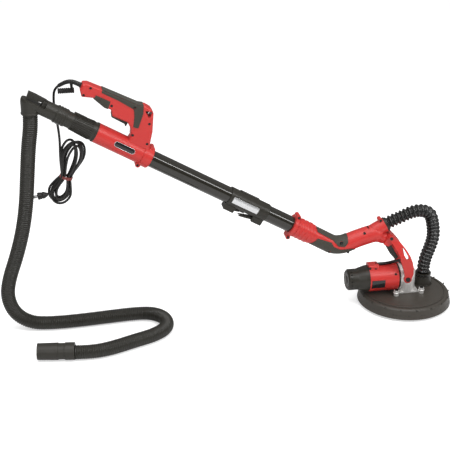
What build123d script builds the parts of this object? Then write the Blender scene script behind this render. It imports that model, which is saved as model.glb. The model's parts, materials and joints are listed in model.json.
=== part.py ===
from build123d import *
import os
from math import sin, cos, tan, radians, pi

os.makedirs("parts", exist_ok=True)

# Pole drywall sander.  Millimetres, +Z up.  The origin is the centre of the sanding face,
# which rests on the floor.  The pole rises towards -X and stays in the X-Z plane.

# ---- driving dimensions ------------------------------------------------------------------
FIT = 0.05                 # radial clearance of screws and fixed spigots
RUN = 0.4                  # clearance of moving parts

PAD_R = 112.5              # backing pad
ABRASIVE_T = 1.2
FOAM_T = 9.0
BACKING_T = 5.0
SHROUD_R = 125.0           # dust shroud at its lower edge
SHROUD_TOP_R = 119.5
SHROUD_TOP_Z = 35.0
SHROUD_LOW_Z = 7.0
SHROUD_WALL = 3.0
BRUSH_T = 3.0
BRUSH_LOW_Z = 0.5
PORT_X, PORT_Y = 60.0, 25.0
PORT_BASE_R, PORT_TOP_R, PORT_TOP_Z = 26.0, 20.5, 68.0

MOTOR_Z = 76.0             # motor axis above the floor
MOTOR_R = 36.0
MOTOR_WALL = 3.0
MOTOR_FRONT_X, MOTOR_REAR_X = -22.0, -106.0
CAP_R, CAP_END_X = 28.5, -163.0

TILT_X, TILT_Z = -6.5, 84.5
ARM_Y, ARM_T = 40.0, 7.0   # middle of the arm's lower part, and its thickness
ARM_TOP_Y = 24.5

POLE_R, POLE_WALL = 21.0, 1.8
POLE_ANGLE = 30.0
POLE_FOOT = (-318.0, 250.0)
CLAMP_S = (78.0, 190.0)
GRIP_S = (416.0, 566.0)    # the handle's tube body, along the pole
SLEEVE_END_S = 636.0
NECK_R, NECK_CHANNEL_R = 23.5, 19.0
NOSE_R = 17.0
NOSE_X, NOSE_Z = -67.0, 193.5
NOSE_DROP = 25.0           # angle of the swivel axis below the horizontal
HOSE_PORT_X, HOSE_PORT_Z, HOSE_PORT_RISE = -64.0, 231.5, 28.0

DUCT_R, DUCT_WALL = 17.0, 2.0       # corrugated duct of the head
HOSE_R, HOSE_WALL = 18.0, 2.2       # vacuum hose
CUFF_R, CUFF_WALL, CUFF_L = 21.8, 2.5, 92.0
CORD_R = 3.0
SCREW_HEAD_R, SCREW_R = 3.3, 1.7

# ---- frames ------------------------------------------------------------------------------
A = radians(POLE_ANGLE)
FOOT = Vector(POLE_FOOT[0], 0, POLE_FOOT[1])
ALONG = Vector(-cos(A), 0, sin(A))
UP = Vector(sin(A), 0, cos(A))
SIDE = Plane(origin=FOOT, x_dir=ALONG, z_dir=(0, 1, 0))      # sketches in (s, t), extruded in Y
D = radians(NOSE_DROP)
NOSE = Vector(NOSE_X, 0, NOSE_Z)
NOSE_DIR = Vector(cos(D), 0, -sin(D))
NOSE_UP = Vector(sin(D), 0, cos(D))
P = radians(HOSE_PORT_RISE)
PORT = Vector(HOSE_PORT_X, 0, HOSE_PORT_Z)
PORT_DIR = Vector(cos(P), 0, sin(P))
BIG = 900.0


def at(s, t=0.0, y=0.0):
    """A point from its place along the pole, above its axis, and to the side."""
    return FOOT + ALONG * s + UP * t + Vector(0, y, 0)


def rod(start, direction, radius, length):
    return Plane(origin=start, z_dir=direction) * Cylinder(
        radius, length, align=(Align.CENTER, Align.CENTER, Align.MIN))


def pole_rod(s0, s1, radius):
    return rod(at(s0), ALONG, radius, s1 - s0)


def cross_rod(x, z, radius, y0, y1):
    return rod(Vector(x, y0, z), Vector(0, 1, 0), radius, y1 - y0)


def turned(points, start, direction):
    """A solid of revolution from (radius, height) points about a line."""
    face = make_face(Polyline([(r, 0, h) for r, h in points], close=True))
    solid = revolve(Plane.XY * face, Axis.Z, 360)
    return Plane(origin=start, z_dir=direction) * solid


def outline(points, rounding, plane, half, middle=0.0):
    """A prism across Y from an outline with rounded corners."""
    face = make_face(Polyline(points, close=True))
    if rounding > 0:
        face = fillet(face.vertices(), rounding)
    solid = extrude(plane * face, half, both=True)
    return Pos(0, middle, 0) * solid


def side_box(s0, s1, t0, t1, half, middle=0.0):
    return outline([(s0, t0), (s1, t0), (s1, t1), (s0, t1)], 0, SIDE, half, middle)


def world_box(x0, x1, y0, y1, z0, z1):
    return Pos((x0 + x1) / 2, (y0 + y1) / 2, (z0 + z1) / 2) * Box(x1 - x0, y1 - y0, z1 - z0)


def near_half(solid):
    return solid & world_box(-BIG * 2, BIG, -BIG, 0, -BIG, BIG * 2)


def far_half(solid):
    return solid & world_box(-BIG * 2, BIG, 0, BIG, -BIG, BIG * 2)


def path_of(points):
    """A route of straight runs and tangent arcs, each as large as its runs allow."""
    vectors = [Vector(*p) for p in points]
    radii = []
    for before, corner, after in zip(vectors, vectors[1:], vectors[2:]):
        run = min((corner - before).length, (after - corner).length)
        turn = (corner - before).get_angle(after - corner)
        radii.append(0.45 * run / tan(radians(turn) / 2))
    return FilletPolyline(*vectors, radius=radii), radii


def tube_along(name, points, radius, wall=0.0):
    path, radii = path_of(points)
    start = Plane(origin=path @ 0, z_dir=path % 0)
    section = start * Circle(radius)
    if wall > 0:
        section = section - start * Circle(radius - wall)
    tube = sweep(section, path)
    area = pi * (radius ** 2 - (radius - wall) ** 2) if wall > 0 else pi * radius ** 2
    print(name, "length", round(path.length, 1), "volume ratio",
          round(tube.volume / (area * path.length), 4),
          "radii", [round(r) for r in radii])
    return tube


nodes = {}


def keep(name, shape):
    """Store a node, as one solid or as a group of separate solids."""
    solids = shape.solids() if hasattr(shape, "solids") else shape
    nodes[name] = solids[0] if len(solids) == 1 else Compound(children=list(solids))


def keep_group(name, shapes):
    solids = [solid for shape in shapes for solid in shape.solids()]
    nodes[name] = Compound(children=solids)


# ---- sanding pad -------------------------------------------------------------------------
def disc(radius, z0, z1, hole=0.0):
    shape = Pos(0, 0, (z0 + z1) / 2) * Cylinder(radius, z1 - z0)
    if hole > 0:
        shape -= Pos(0, 0, (z0 + z1) / 2) * Cylinder(hole, z1 - z0 + 2)
    return shape


def dust_holes(z0, z1):
    holes = []
    for ring_radius, count in ((62.0, 8), (92.0, 8)):
        for place in PolarLocations(ring_radius, count):
            holes.append(place * Pos(0, 0, (z0 + z1) / 2) * Cylinder(5, z1 - z0 + 2))
    return holes


BOLT_R = 4.0
PAD_TOP = ABRASIVE_T + FOAM_T + BACKING_T
abrasive = disc(PAD_R, 0, ABRASIVE_T) - dust_holes(0, ABRASIVE_T)
foam = disc(PAD_R, ABRASIVE_T, ABRASIVE_T + FOAM_T, 9) - dust_holes(ABRASIVE_T, ABRASIVE_T + FOAM_T)
backing = disc(PAD_R - 1, ABRASIVE_T + FOAM_T, PAD_TOP, BOLT_R + FIT)
backing -= dust_holes(ABRASIVE_T + FOAM_T, PAD_TOP)
keep("abrasive_disc", abrasive)
keep("foam_layer", foam)
keep("backing_pad", backing)
pad_bolt = disc(8, PAD_TOP - BACKING_T - 3, PAD_TOP - BACKING_T) + disc(BOLT_R, PAD_TOP - BACKING_T, 30)
keep("pad_bolt", pad_bolt)

GEAR_Z = 67.0
SPINDLE_R = 7.0
spindle = disc(13, PAD_TOP, PAD_TOP + 4, BOLT_R + FIT) + disc(SPINDLE_R, PAD_TOP + 4, GEAR_Z + 8)
spindle -= disc(BOLT_R + FIT, PAD_TOP - 1, 30.5)
keep("spindle", spindle)
bevel = turned([(SPINDLE_R + FIT, 0), (19, 0), (19, 2.5), (13, 7), (SPINDLE_R + FIT, 7)],
               Vector(0, 0, GEAR_Z - 7), Vector(0, 0, 1))
keep("bevel_gear", bevel)

# ---- shroud ------------------------------------------------------------------------------
inner_top = SHROUD_TOP_Z - SHROUD_WALL
shroud = turned([(20, SHROUD_TOP_Z), (95, SHROUD_TOP_Z), (SHROUD_TOP_R - 4, SHROUD_TOP_Z - 1.5),
                 (SHROUD_TOP_R, SHROUD_TOP_Z - 5), (SHROUD_R, SHROUD_LOW_Z),
                 (SHROUD_R - SHROUD_WALL, SHROUD_LOW_Z), (SHROUD_TOP_R - SHROUD_WALL, inner_top - 3),
                 (SHROUD_TOP_R - SHROUD_WALL - 3, inner_top), (20, inner_top)],
                Vector(0, 0, 0), Vector(0, 0, 1))
shroud -= Pos(PORT_X, PORT_Y, SHROUD_TOP_Z) * Cylinder(15, 20)
keep("shroud", shroud)
brush_r = SHROUD_R - SHROUD_WALL - 0.1
keep("brush_ring", disc(brush_r, BRUSH_LOW_Z, SHROUD_LOW_Z + 4, brush_r - BRUSH_T)
     - turned([(SHROUD_R, SHROUD_LOW_Z), (SHROUD_R - SHROUD_WALL - 0.1, SHROUD_LOW_Z),
               (SHROUD_TOP_R - SHROUD_WALL - 0.1, inner_top - 3), (SHROUD_R, inner_top - 3)],
              Vector(0, 0, 0), Vector(0, 0, 1)))
port_base = Vector(PORT_X, PORT_Y, SHROUD_TOP_Z)
port_h = PORT_TOP_Z - SHROUD_TOP_Z
keep("dust_port", turned([(15, 0), (PORT_BASE_R, 0), (PORT_BASE_R - 1.5, 3), (PORT_TOP_R - 1, port_h - 9),
                          (PORT_TOP_R + 1, port_h - 8), (PORT_TOP_R + 1, port_h), (15, port_h)],
                         port_base, Vector(0, 0, 1)))

# ---- gear housing and hub plate ----------------------------------------------------------
PLATE_TOP = SHROUD_TOP_Z + 4.5
HOUSING_R, HOUSING_TOP = 27.0, 98.0
POSTS = [(-33, -34), (-33, 34), (38, -30), (24, 36)]
plate = world_box(-20, 31, -26, 26, SHROUD_TOP_Z, PLATE_TOP)
for px, py in POSTS:
    plate += Pos(px, py, (SHROUD_TOP_Z + 50) / 2) * Cylinder(7, 50 - SHROUD_TOP_Z)
    web = make_face(Polyline([(0, 12 * (1 if py > 0 else -1)), (px, py), (px * 0.4, 0)], close=True))
    plate += Pos(0, 0, SHROUD_TOP_Z) * extrude(web, PLATE_TOP - SHROUD_TOP_Z)
plate -= disc(SPINDLE_R + 3, SHROUD_TOP_Z - 5, PLATE_TOP + 5)
plate -= rod(Vector(MOTOR_REAR_X, 0, MOTOR_Z), Vector(1, 0, 0), MOTOR_R + 1.5,
             MOTOR_FRONT_X - MOTOR_REAR_X + 2)
for px, py in POSTS:
    plate -= Pos(px, py, 46) * Cylinder(3.2 + FIT, 8.01)
keep("hub_plate", plate)
keep_group("hub_screws", [Pos(px, py, 44.5) * Cylinder(3.2, 5) for px, py in POSTS])

housing = disc(HOUSING_R, PLATE_TOP, HOUSING_TOP - 6) + disc(HOUSING_R - 9.5, HOUSING_TOP - 6, HOUSING_TOP)
housing += rod(Vector(-22, 0, MOTOR_Z), Vector(1, 0, 0), MOTOR_R - 2, 8) - disc(60, 0, PLATE_TOP)
for side in (-1, 1):
    housing += cross_rod(TILT_X, TILT_Z, 12, min(0, side * (ARM_Y - ARM_T / 2 - 0.5)),
                         max(0, side * (ARM_Y - ARM_T / 2 - 0.5)))
housing -= disc(SPINDLE_R + FIT, PLATE_TOP - 1, GEAR_Z - 8)
housing -= disc(HOUSING_R - 6, GEAR_Z - 8.5, HOUSING_TOP - 10)
housing -= rod(Vector(-30, 0, MOTOR_Z), Vector(1, 0, 0), 13, 26)
housing -= rod(Vector(MOTOR_FRONT_X - 12, 0, MOTOR_Z), Vector(1, 0, 0), MOTOR_R + 4, 12)
PIN_R = 4.0
for side in (-1, 1):
    y_in = side * (HOUSING_R + 1)
    y_out = side * (ARM_Y + 1)
    housing -= cross_rod(TILT_X, TILT_Z, PIN_R + FIT, min(y_in, y_out), max(y_in, y_out))
keep("gear_housing", housing)

# ---- motor -------------------------------------------------------------------------------
MOTOR_START = Vector(MOTOR_REAR_X, 0, MOTOR_Z)
XDIR = Vector(1, 0, 0)
body_len = MOTOR_FRONT_X - MOTOR_REAR_X
casing = rod(MOTOR_START, XDIR, MOTOR_R, body_len - 5) - rod(MOTOR_START, XDIR, MOTOR_R - MOTOR_WALL, body_len)
hump = world_box(MOTOR_REAR_X, MOTOR_REAR_X + 27, -15, 15, MOTOR_Z + 28, MOTOR_Z + 43)
hump = fillet(hump.edges().filter_by(Axis.X).group_by(Axis.Z)[-1], 6)
casing += hump - rod(MOTOR_START - XDIR, XDIR, MOTOR_R - MOTOR_WALL, body_len)
CABLE_R, CABLE_Z = 4.0, MOTOR_Z + MOTOR_R + 0.3 + 4.0
casing -= rod(Vector(MOTOR_REAR_X + 20, 0, CABLE_Z), XDIR, CABLE_R + FIT, 20)
BADGE_Z0, BADGE_Z1 = MOTOR_Z - 15, MOTOR_Z + 8
badge_box = world_box(-102, -66, -MOTOR_R - 2, -MOTOR_R + 6, BADGE_Z0, BADGE_Z1)
badge_skin = (rod(MOTOR_START, XDIR, MOTOR_R + 0.6, body_len - 5)
              - rod(MOTOR_START, XDIR, MOTOR_R - 0.8, body_len - 5)) & badge_box
casing -= badge_skin
keep("motor_housing", casing)
keep("motor_badge", badge_skin)
ring = rod(Vector(MOTOR_FRONT_X - 5, 0, MOTOR_Z), XDIR, MOTOR_R - 1, 5)
SHAFT_R = 4.0
ring -= rod(Vector(MOTOR_FRONT_X - 6, 0, MOTOR_Z), XDIR, SHAFT_R + FIT, 7)
keep("motor_ring", ring)
cap_len = MOTOR_REAR_X - CAP_END_X
cap = turned([(0, 0), (CAP_R - 4, 0), (CAP_R, 4), (CAP_R, 28), (CAP_R + 2, 34), (MOTOR_R - 1.5, cap_len - 9),
              (MOTOR_R, cap_len), (MOTOR_R - 3, cap_len), (MOTOR_R - 5, cap_len - 10), (CAP_R - 2, 34),
              (CAP_R - 3, 4), (0, 4)], Vector(CAP_END_X, 0, MOTOR_Z), XDIR)
for turn in range(0, 360, 20):
    slot = Pos(CAP_END_X + 9, 0, CAP_R) * Box(5, 2.4, 12)
    cap -= Pos(0, 0, MOTOR_Z) * Rot(turn, 0, 0) * slot
keep("motor_cap", cap)
CABLE_ROUTE = [(MOTOR_REAR_X + 20, 0, CABLE_Z), (-52, 0, CABLE_Z), (-26, 9, CABLE_Z),
               (-8, 21.8, CABLE_Z - 6), (TILT_X, 22, HOUSING_TOP - 4)]
keep("motor_cable", tube_along("motor_cable", CABLE_ROUTE, CABLE_R) - housing)
armature = rod(Vector(CAP_END_X + 8, 0, MOTOR_Z), XDIR, SHAFT_R, -CAP_END_X - 16)
armature += rod(Vector(-96, 0, MOTOR_Z), XDIR, 19, 38) + rod(Vector(-118, 0, MOTOR_Z), XDIR, 11, 14)
keep("armature", armature)
pinion_x = -20.0
keep("pinion", turned([(SHAFT_R, 0), (8, 0), (8.5, 6), (5.5, 11), (SHAFT_R, 11)],
                      Vector(pinion_x, 0, MOTOR_Z), XDIR))
fan = rod(Vector(-52, 0, MOTOR_Z), XDIR, 30, 3)
for turn in range(0, 360, 30):
    fan += Pos(0, 0, MOTOR_Z) * Rot(turn, 0, 0) * Pos(-46, 0, 20) * Box(9.5, 2, 18)
fan -= rod(Vector(-60, 0, MOTOR_Z), XDIR, SHAFT_R, 40)
keep("fan", fan)
stator = rod(Vector(-98, 0, MOTOR_Z), XDIR, MOTOR_R - MOTOR_WALL - FIT, 42)
stator -= rod(Vector(-99, 0, MOTOR_Z), XDIR, 20.5, 44)
keep("stator", stator)

# ---- fork --------------------------------------------------------------------------------
ARM_TOP = (-54.5, 201.0)
ARM_OUTLINE = [(-50, 209), (-42, 202), (-27.5, 186), (-14, 169), (-4, 152), (3, 135), (7.3, 118), (7.6, 100),
               (3.5, 86), (-15, 86), (-17, 103), (-22.5, 121), (-29.5, 140), (-33.5, 156), (-40, 168),
               (-48, 181), (-61, 198)]
WINDOW = [(-27, 175), (-22.5, 173.5), (-15.5, 162), (-9, 150), (-7.5, 143), (-12.5, 142), (-20.5, 155), (-25, 165)]
ARM_BOSS_R = 10.5


def fork_arm(side):
    prism = outline(ARM_OUTLINE, 2.5, Plane.XZ, 60)
    prism += cross_rod(ARM_TOP[0], ARM_TOP[1], 7.5, -60, 60)
    prism += cross_rod(TILT_X, TILT_Z, ARM_BOSS_R, -60, 60)
    prism -= outline(WINDOW, 1.2, Plane.XZ, 61)
    lo, hi = ARM_Y - ARM_T / 2, ARM_Y + ARM_T / 2
    top_lo, top_hi = ARM_TOP_Y - ARM_T / 2, ARM_TOP_Y + ARM_T / 2
    bend = [(lo, 60), (hi, 60), (hi, 150), (top_hi, 192), (top_hi, 215), (top_lo, 215), (top_lo, 192), (lo, 150)]
    face = make_face(Polyline([(side * y, z) for y, z in bend], close=True))
    slab = extrude(Plane.YZ * face, 80, both=True)
    arm = prism & slab
    arm -= cross_rod(TILT_X, TILT_Z, PIN_R + 0.05, -60, 60)
    arm -= cross_rod(ARM_TOP[0], ARM_TOP[1], 2.5 + FIT, -60, 60)
    return arm


for side, word in ((-1, "near"), (1, "far")):
    keep("fork_arm_" + word, fork_arm(side))
neck_front = rod(NOSE - NOSE_DIR * 60, NOSE_DIR, NOSE_R + 8, 60 + RUN)
hub_plane = Plane(origin=NOSE, x_dir=NOSE_DIR, z_dir=(0, -1, 0))
HUB_HALF = ARM_TOP_Y - ARM_T / 2
hub = outline([(0.5, -13), (15, -13), (21, -2), (21, 14), (16, 20), (4, 20), (0.5, 14)], 2, hub_plane, HUB_HALF)
hub += rod(NOSE - NOSE_DIR * 18, NOSE_DIR, 9, 19)
hub -= cross_rod(ARM_TOP[0], ARM_TOP[1], 2.5 + FIT, -60, 60)
keep("fork_hub", hub)
fork_bolts = []
for side in (-1, 1):
    y_out = side * (ARM_TOP_Y + ARM_T / 2)
    bolt = cross_rod(ARM_TOP[0], ARM_TOP[1], 2.5, min(side * 2, y_out), max(side * 2, y_out))
    y_head = y_out + side * 2.0
    bolt += cross_rod(ARM_TOP[0], ARM_TOP[1], 4.3, min(y_out, y_head), max(y_out, y_head))
    fork_bolts.append(bolt)
keep_group("fork_bolts", fork_bolts)
tilt_pins = []
for side in (-1, 1):
    y_in, y_out = side * (HOUSING_R + 1.2), side * (ARM_Y + ARM_T / 2)
    pin = cross_rod(TILT_X, TILT_Z, PIN_R, min(y_in, y_out), max(y_in, y_out))
    y_head = y_out + side * 2.5
    pin += cross_rod(TILT_X, TILT_Z, 6.5, min(y_out, y_head), max(y_out, y_head))
    tilt_pins.append(pin)
keep_group("tilt_pins", tilt_pins)
COVER = [(-68, 181), (-56, 188), (-39.6, 158.8), (-27.6, 139.8), (-36.6, 133.8), (-51.6, 151.8)]
cover = outline(COVER, 1.5, Plane.XZ, 5.5, -11.5)
keep("fork_cover", cover - hub - neck_front)

# ---- poles and clamp ---------------------------------------------------------------------
JOIN_S = (CLAMP_S[0] + CLAMP_S[1]) / 2
COLLAR_IN = 45.0
keep("front_pole", pole_rod(-COLLAR_IN, JOIN_S, POLE_R) - pole_rod(-COLLAR_IN - 1, JOIN_S + 1, POLE_R - POLE_WALL))
REAR_POLE_END = 540.0
keep("rear_pole", pole_rod(JOIN_S, REAR_POLE_END, POLE_R)
     - pole_rod(JOIN_S - 1, REAR_POLE_END + 1, POLE_R - POLE_WALL))
SLEEVE_R = POLE_R + 2.6
LUG_LOW = -35.0
LUGS = ((CLAMP_S[0], CLAMP_S[0] + 30), (CLAMP_S[1] - 30, CLAMP_S[1]))
LEVER_HALF = 8.0
LEVER_PINS = ((CLAMP_S[0] + 24, -29.0), (CLAMP_S[1] - 26, -27.5))
sleeve = pole_rod(CLAMP_S[0], CLAMP_S[1], SLEEVE_R)
sleeve += side_box(CLAMP_S[0] + 34, CLAMP_S[1] - 23, SLEEVE_R - 3, SLEEVE_R + 1.6, 5)
sleeve += side_box(JOIN_S - 2, JOIN_S + 2, -3, SLEEVE_R + 0.8, SLEEVE_R * 0.6) & pole_rod(
    CLAMP_S[0], CLAMP_S[1], SLEEVE_R + 0.8)
for s0, s1 in LUGS:
    sleeve += outline([(s0, -10), (s1, -10), (s1, LUG_LOW), (s0, LUG_LOW)], 2.5, SIDE, 13)
sleeve -= pole_rod(CLAMP_S[0] - 1, CLAMP_S[1] + 1, POLE_R)
PLATE_S = (CLAMP_S[0] + 29, CLAMP_S[1] - 9)
plate_pocket = side_box(PLATE_S[0], PLATE_S[1], -8.2, 8.6, 5, -SLEEVE_R)
skin = pole_rod(CLAMP_S[0], CLAMP_S[1], SLEEVE_R + 0.5) - pole_rod(CLAMP_S[0], CLAMP_S[1], SLEEVE_R - 0.5)
plate_piece = skin & plate_pocket
sleeve -= plate_piece
for (s0, s1), (ps, pt) in zip(LUGS, LEVER_PINS):
    lo, hi = (ps - 6.5, s1 + 1) if s0 == LUGS[0][0] else (s0 - 1, ps + 6.5)
    sleeve -= side_box(lo, hi, LUG_LOW - 1, -POLE_R - 1.2, LEVER_HALF + RUN)
    sleeve -= rod(at(ps, pt, -14), Vector(0, 1, 0), 1.5 + FIT, 28)
keep("clamp_sleeve", sleeve)
keep("clamp_plate", plate_piece)
keep_group("latch_pins", [rod(at(ps, pt, -13), Vector(0, 1, 0), 1.5, 26) for ps, pt in LEVER_PINS])
front_lever = outline([(102, -32), (100, -26), (106, -25), (124, -29.5), (141, -34.5), (141.5, -37),
                       (122, -34), (108, -31.5)], 0.9, SIDE, LEVER_HALF)
rear_lever = outline([(167, -31), (168, -24.6), (160, -24.5), (146, -24.2), (131, -23.7), (130.5, -26),
                      (146, -27), (158, -29.5)], 0.9, SIDE, LEVER_HALF)
# The rear lever's narrow tip passes through a slot in the front lever.
TIP_HALF = 3.6
front_lever -= side_box(LEVER_PINS[0][0] + 22, JOIN_S + 20, -45, -15, TIP_HALF + RUN)
for side in (-1, 1):
    rear_lever -= side_box(JOIN_S - 20, LEVER_PINS[1][0] - 18, -45, -15, 5, side * (TIP_HALF + 5))
for name, lever, (ps, pt) in zip(("front_latch", "rear_latch"), (front_lever, rear_lever), LEVER_PINS):
    lever += rod(at(ps, pt, -LEVER_HALF), Vector(0, 1, 0), 3.4, 2 * LEVER_HALF)
    keep(name, lever - rod(at(ps, pt, -14), Vector(0, 1, 0), 1.5 + 0.05, 28))

def screw_and_hole(x, z, y_head, length):
    """A pan-head screw whose head lies at the bottom of its round pocket."""
    hole = cross_rod(x, z, SCREW_HEAD_R + FIT, -60, y_head)
    hole += cross_rod(x, z, SCREW_R + FIT, y_head - 1, y_head + length)
    screw = cross_rod(x, z, SCREW_HEAD_R, y_head - 2, y_head)
    screw += cross_rod(x, z, SCREW_R, y_head - 1, y_head + length)
    return screw, hole


# ---- neck --------------------------------------------------------------------------------
NECK_ROUTE = [tuple(at(1 - COLLAR_IN)), (-206, 0, 184), (-180, 0, 182),
              (-132, 0, 199), (-92, 0, 209), tuple(NOSE - NOSE_DIR * 6)]
neck_path, _ = path_of(NECK_ROUTE)


def neck_tube(radius, route=None):
    path = neck_path if route is None else path_of(route)[0]
    return sweep(Plane(origin=path @ 0, z_dir=path % 0) * Circle(radius), path)


AIR_ROUTE = NECK_ROUTE[:4] + [(-100, 0, 212.5), tuple(PORT + PORT_DIR * 2)]
neck = neck_tube(NECK_R, NECK_ROUTE[:5] + [(-84, 0, 203)])
neck += rod(NOSE - NOSE_DIR * 34, NOSE_DIR, NOSE_R, 34)
neck += Plane(origin=NOSE - NOSE_DIR * 34, z_dir=NOSE_DIR) * Cone(
    22, NOSE_R, 26, align=(Align.CENTER, Align.CENTER, Align.MIN))
neck += Plane(origin=PORT - PORT_DIR * 36, z_dir=PORT_DIR) * Cone(
    19, DUCT_R + 2.5, 36, align=(Align.CENTER, Align.CENTER, Align.MIN))
COLLAR_BACK = -60.0
collar_profile = [(0, COLLAR_BACK), (NECK_R + 2.5, COLLAR_BACK)]
for rib in (-52, -40, -28, -16):
    collar_profile += [(NECK_R + 2.5, rib), (NECK_R + 4, rib + 1), (NECK_R + 4, rib + 5), (NECK_R + 2.5, rib + 6)]
collar_profile += [(NECK_R + 5.5, -8), (NECK_R + 5.5, 2), (0, 2)]
collar = turned(collar_profile, FOOT, ALONG)
COLLAR_SCREWS = [(-3, 28.5), (-5, -31)]
for s, t in COLLAR_SCREWS:
    collar += rod(at(s, t, -13), Vector(0, 1, 0), 6, 26)
neck += collar
lug_centre = PORT - PORT_DIR * 8 + Vector(-sin(P), 0, cos(P)) * (DUCT_R + 4.5)
neck += rod(lug_centre + Vector(0, -9, 0), Vector(0, 1, 0), 5.5, 18)
air = neck_tube(NECK_CHANNEL_R, NECK_ROUTE[:4] + [(-104, 0, 211.5)])
air += Plane(origin=PORT - PORT_DIR * 48, z_dir=PORT_DIR) * Cylinder(
    14.6, 60, align=(Align.CENTER, Align.CENTER, Align.MIN))
neck -= air
neck -= pole_rod(-COLLAR_IN, 10, POLE_R)
neck -= rod(PORT - PORT_DIR * 14, PORT_DIR, DUCT_R, 30)
neck -= rod(NOSE - NOSE_DIR * 19, NOSE_DIR, 9.1, 30)
SCREW_XZ = [(-187.5, 196, -22.2), (-219, 171.5, -14.8), (-167.5, 166.5, -16.2), (-125, 217, -16.5)]
neck_screws = []
for x, z, y_head in SCREW_XZ:
    neck_screws.append(cross_rod(x, z, SCREW_HEAD_R, y_head - 2.6, y_head + 4) - neck)
for s, t in COLLAR_SCREWS:
    neck_screws.append(rod(at(s, t, -15), Vector(0, 1, 0), SCREW_HEAD_R, 2))
neck_screws.append(rod(lug_centre + Vector(0, -11, 0), Vector(0, 1, 0), SCREW_HEAD_R, 2))
keep_group("neck_screws", neck_screws)


GRIP_T = 1.3
grip_path = path_of(NECK_ROUTE[:5])[0]
grip_start = Plane(origin=grip_path @ 0, z_dir=grip_path % 0)
grip_skin = sweep(grip_start * Circle(NECK_R + GRIP_T) - grip_start * Circle(NECK_R), grip_path)
TOP_ZONE = [(-250, 260), (-252, 232), (-210, 205), (-196, 188), (-178, 186), (-170, 196), (-168, 230), (-200, 260)]
LOW_ZONE = [(-252, 216), (-214, 200), (-208, 188), (-190, 178), (-160, 178), (-146, 172), (-150, 140),
            (-240, 140), (-280, 188)]
top_zone = outline(TOP_ZONE, 3, Plane.XZ, 60)
low_zone = outline(LOW_ZONE, 3, Plane.XZ, 60)
holes = [cross_rod(x, z, SCREW_HEAD_R + 0.6, -60, 0) for x, z, _ in SCREW_XZ]
keep("neck_grip_top", (grip_skin & top_zone) - holes)
keep("neck_grip_low", (grip_skin & low_zone) - holes)
keep("neck_shell", neck)

# ---- handle ------------------------------------------------------------------------------
S0, S1 = GRIP_S
TUBE_R = 25.0
GRIP_HALF = 17.0
LOOP_OUTER = [(650, 97), (640, 102), (606, 104.5), (509, 110), (492, 115.5), (477, 114.5), (466, 108), (457, 89),
              (446, 66), (438, 40), (430, 18), (490, 12), (488, 32), (497, 49), (512, 60), (551, 57),
              (562, 70), (578, 68.5), (612, 77), (638, 67), (649, 80)]
handle = outline(LOOP_OUTER, 3.5, SIDE, GRIP_HALF)
handle = fillet([e for e in handle.edges() if abs(abs(e.center().Y) - GRIP_HALF) < 0.01], 5)
handle += pole_rod(S0 + 10, S1, TUBE_R) + pole_rod(S0 + 2, S0 + 24, TUBE_R + 2.5) + pole_rod(S0, S0 + 6, TUBE_R + 1)
for s, t in ((S0 + 8, 25), (S0 + 22, -26)):
    handle += rod(at(s, t, -14), Vector(0, 1, 0), 6.5, 28)
cavity = outline([(642, 92), (606, 99), (509, 104.5), (498, 100), (500, 66), (548, 63), (558, 76), (576, 74),
                  (610, 82), (640, 74)], 2, SIDE, GRIP_HALF - 4)
cavity += outline([(500, 80), (478, 84), (462, 60), (454, 32), (480, 26), (490, 52), (500, 66)], 2, SIDE, GRIP_HALF - 4)
handle -= cavity
handle -= pole_rod(S0 - 1, REAR_POLE_END, POLE_R)
handle -= pole_rod(REAR_POLE_END - 1, S1 + 1, POLE_R)
RECESS = [(489, 105), (470, 110), (469, 92)]
handle -= outline(RECESS, 2, SIDE, 30)
DIAL_C, DIAL_R, DIAL_HALF = (483.0, 102.5), 8.0, 3.5
dial_centre = at(DIAL_C[0], DIAL_C[1])
handle -= rod(at(DIAL_C[0], DIAL_C[1], -DIAL_HALF - RUN), Vector(0, 1, 0), DIAL_R + 0.6, 2 * (DIAL_HALF + RUN))
AXLE_HALF = 9.0
handle -= rod(at(DIAL_C[0], DIAL_C[1], -AXLE_HALF - 0.3), Vector(0, 1, 0), 2 + 0.05, 2 * AXLE_HALF + 0.6)
dial = rod(at(DIAL_C[0], DIAL_C[1], -DIAL_HALF), Vector(0, 1, 0), DIAL_R, 2 * DIAL_HALF)
for turn in range(0, 360, 20):
    groove = rod(at(DIAL_C[0] + DIAL_R * cos(radians(turn)), DIAL_C[1] + DIAL_R * sin(radians(turn)),
                    -DIAL_HALF - 1), Vector(0, 1, 0), 0.6, 2 * DIAL_HALF + 2)
    dial -= groove
dial += rod(at(DIAL_C[0], DIAL_C[1], -AXLE_HALF), Vector(0, 1, 0), 2, 2 * AXLE_HALF)
keep("speed_dial", dial)
TRIGGER_HALF = 6.0
handle -= side_box(506.5, 557, 50, 82, TRIGGER_HALF + RUN)
TRIG_PIVOT = (552.0, 66.0)
trigger = outline([(555, 69), (549, 69), (546, 62.5), (512, 65), (508.3, 65), (508.3, 47), (511, 47),
                   (513, 51), (550, 52), (555.5, 60)], 0.8, SIDE, TRIGGER_HALF)
handle -= rod(at(TRIG_PIVOT[0], TRIG_PIVOT[1], -9), Vector(0, 1, 0), 1.5 + FIT, 18)
keep("trigger", trigger - rod(at(TRIG_PIVOT[0], TRIG_PIVOT[1], -9), Vector(0, 1, 0), 1.55, 18))
keep("trigger_pin", rod(at(TRIG_PIVOT[0], TRIG_PIVOT[1], -9), Vector(0, 1, 0), 1.5, 18))
SWITCH_HALF = GRIP_HALF - 4
keep("switch_block", side_box(519.5, 545, 72, 97, SWITCH_HALF))
handle -= side_box(519.5 - FIT, 545 + FIT, 72 - FIT, 97 + FIT, SWITCH_HALF + FIT)
HANDLE_SCREWS = [(629, 96), (636, 73.5), (565, 80), (514, 101), (463, 80.3), (444, 33), (486, 37), (438, -27)]
handle_screws = []
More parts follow.
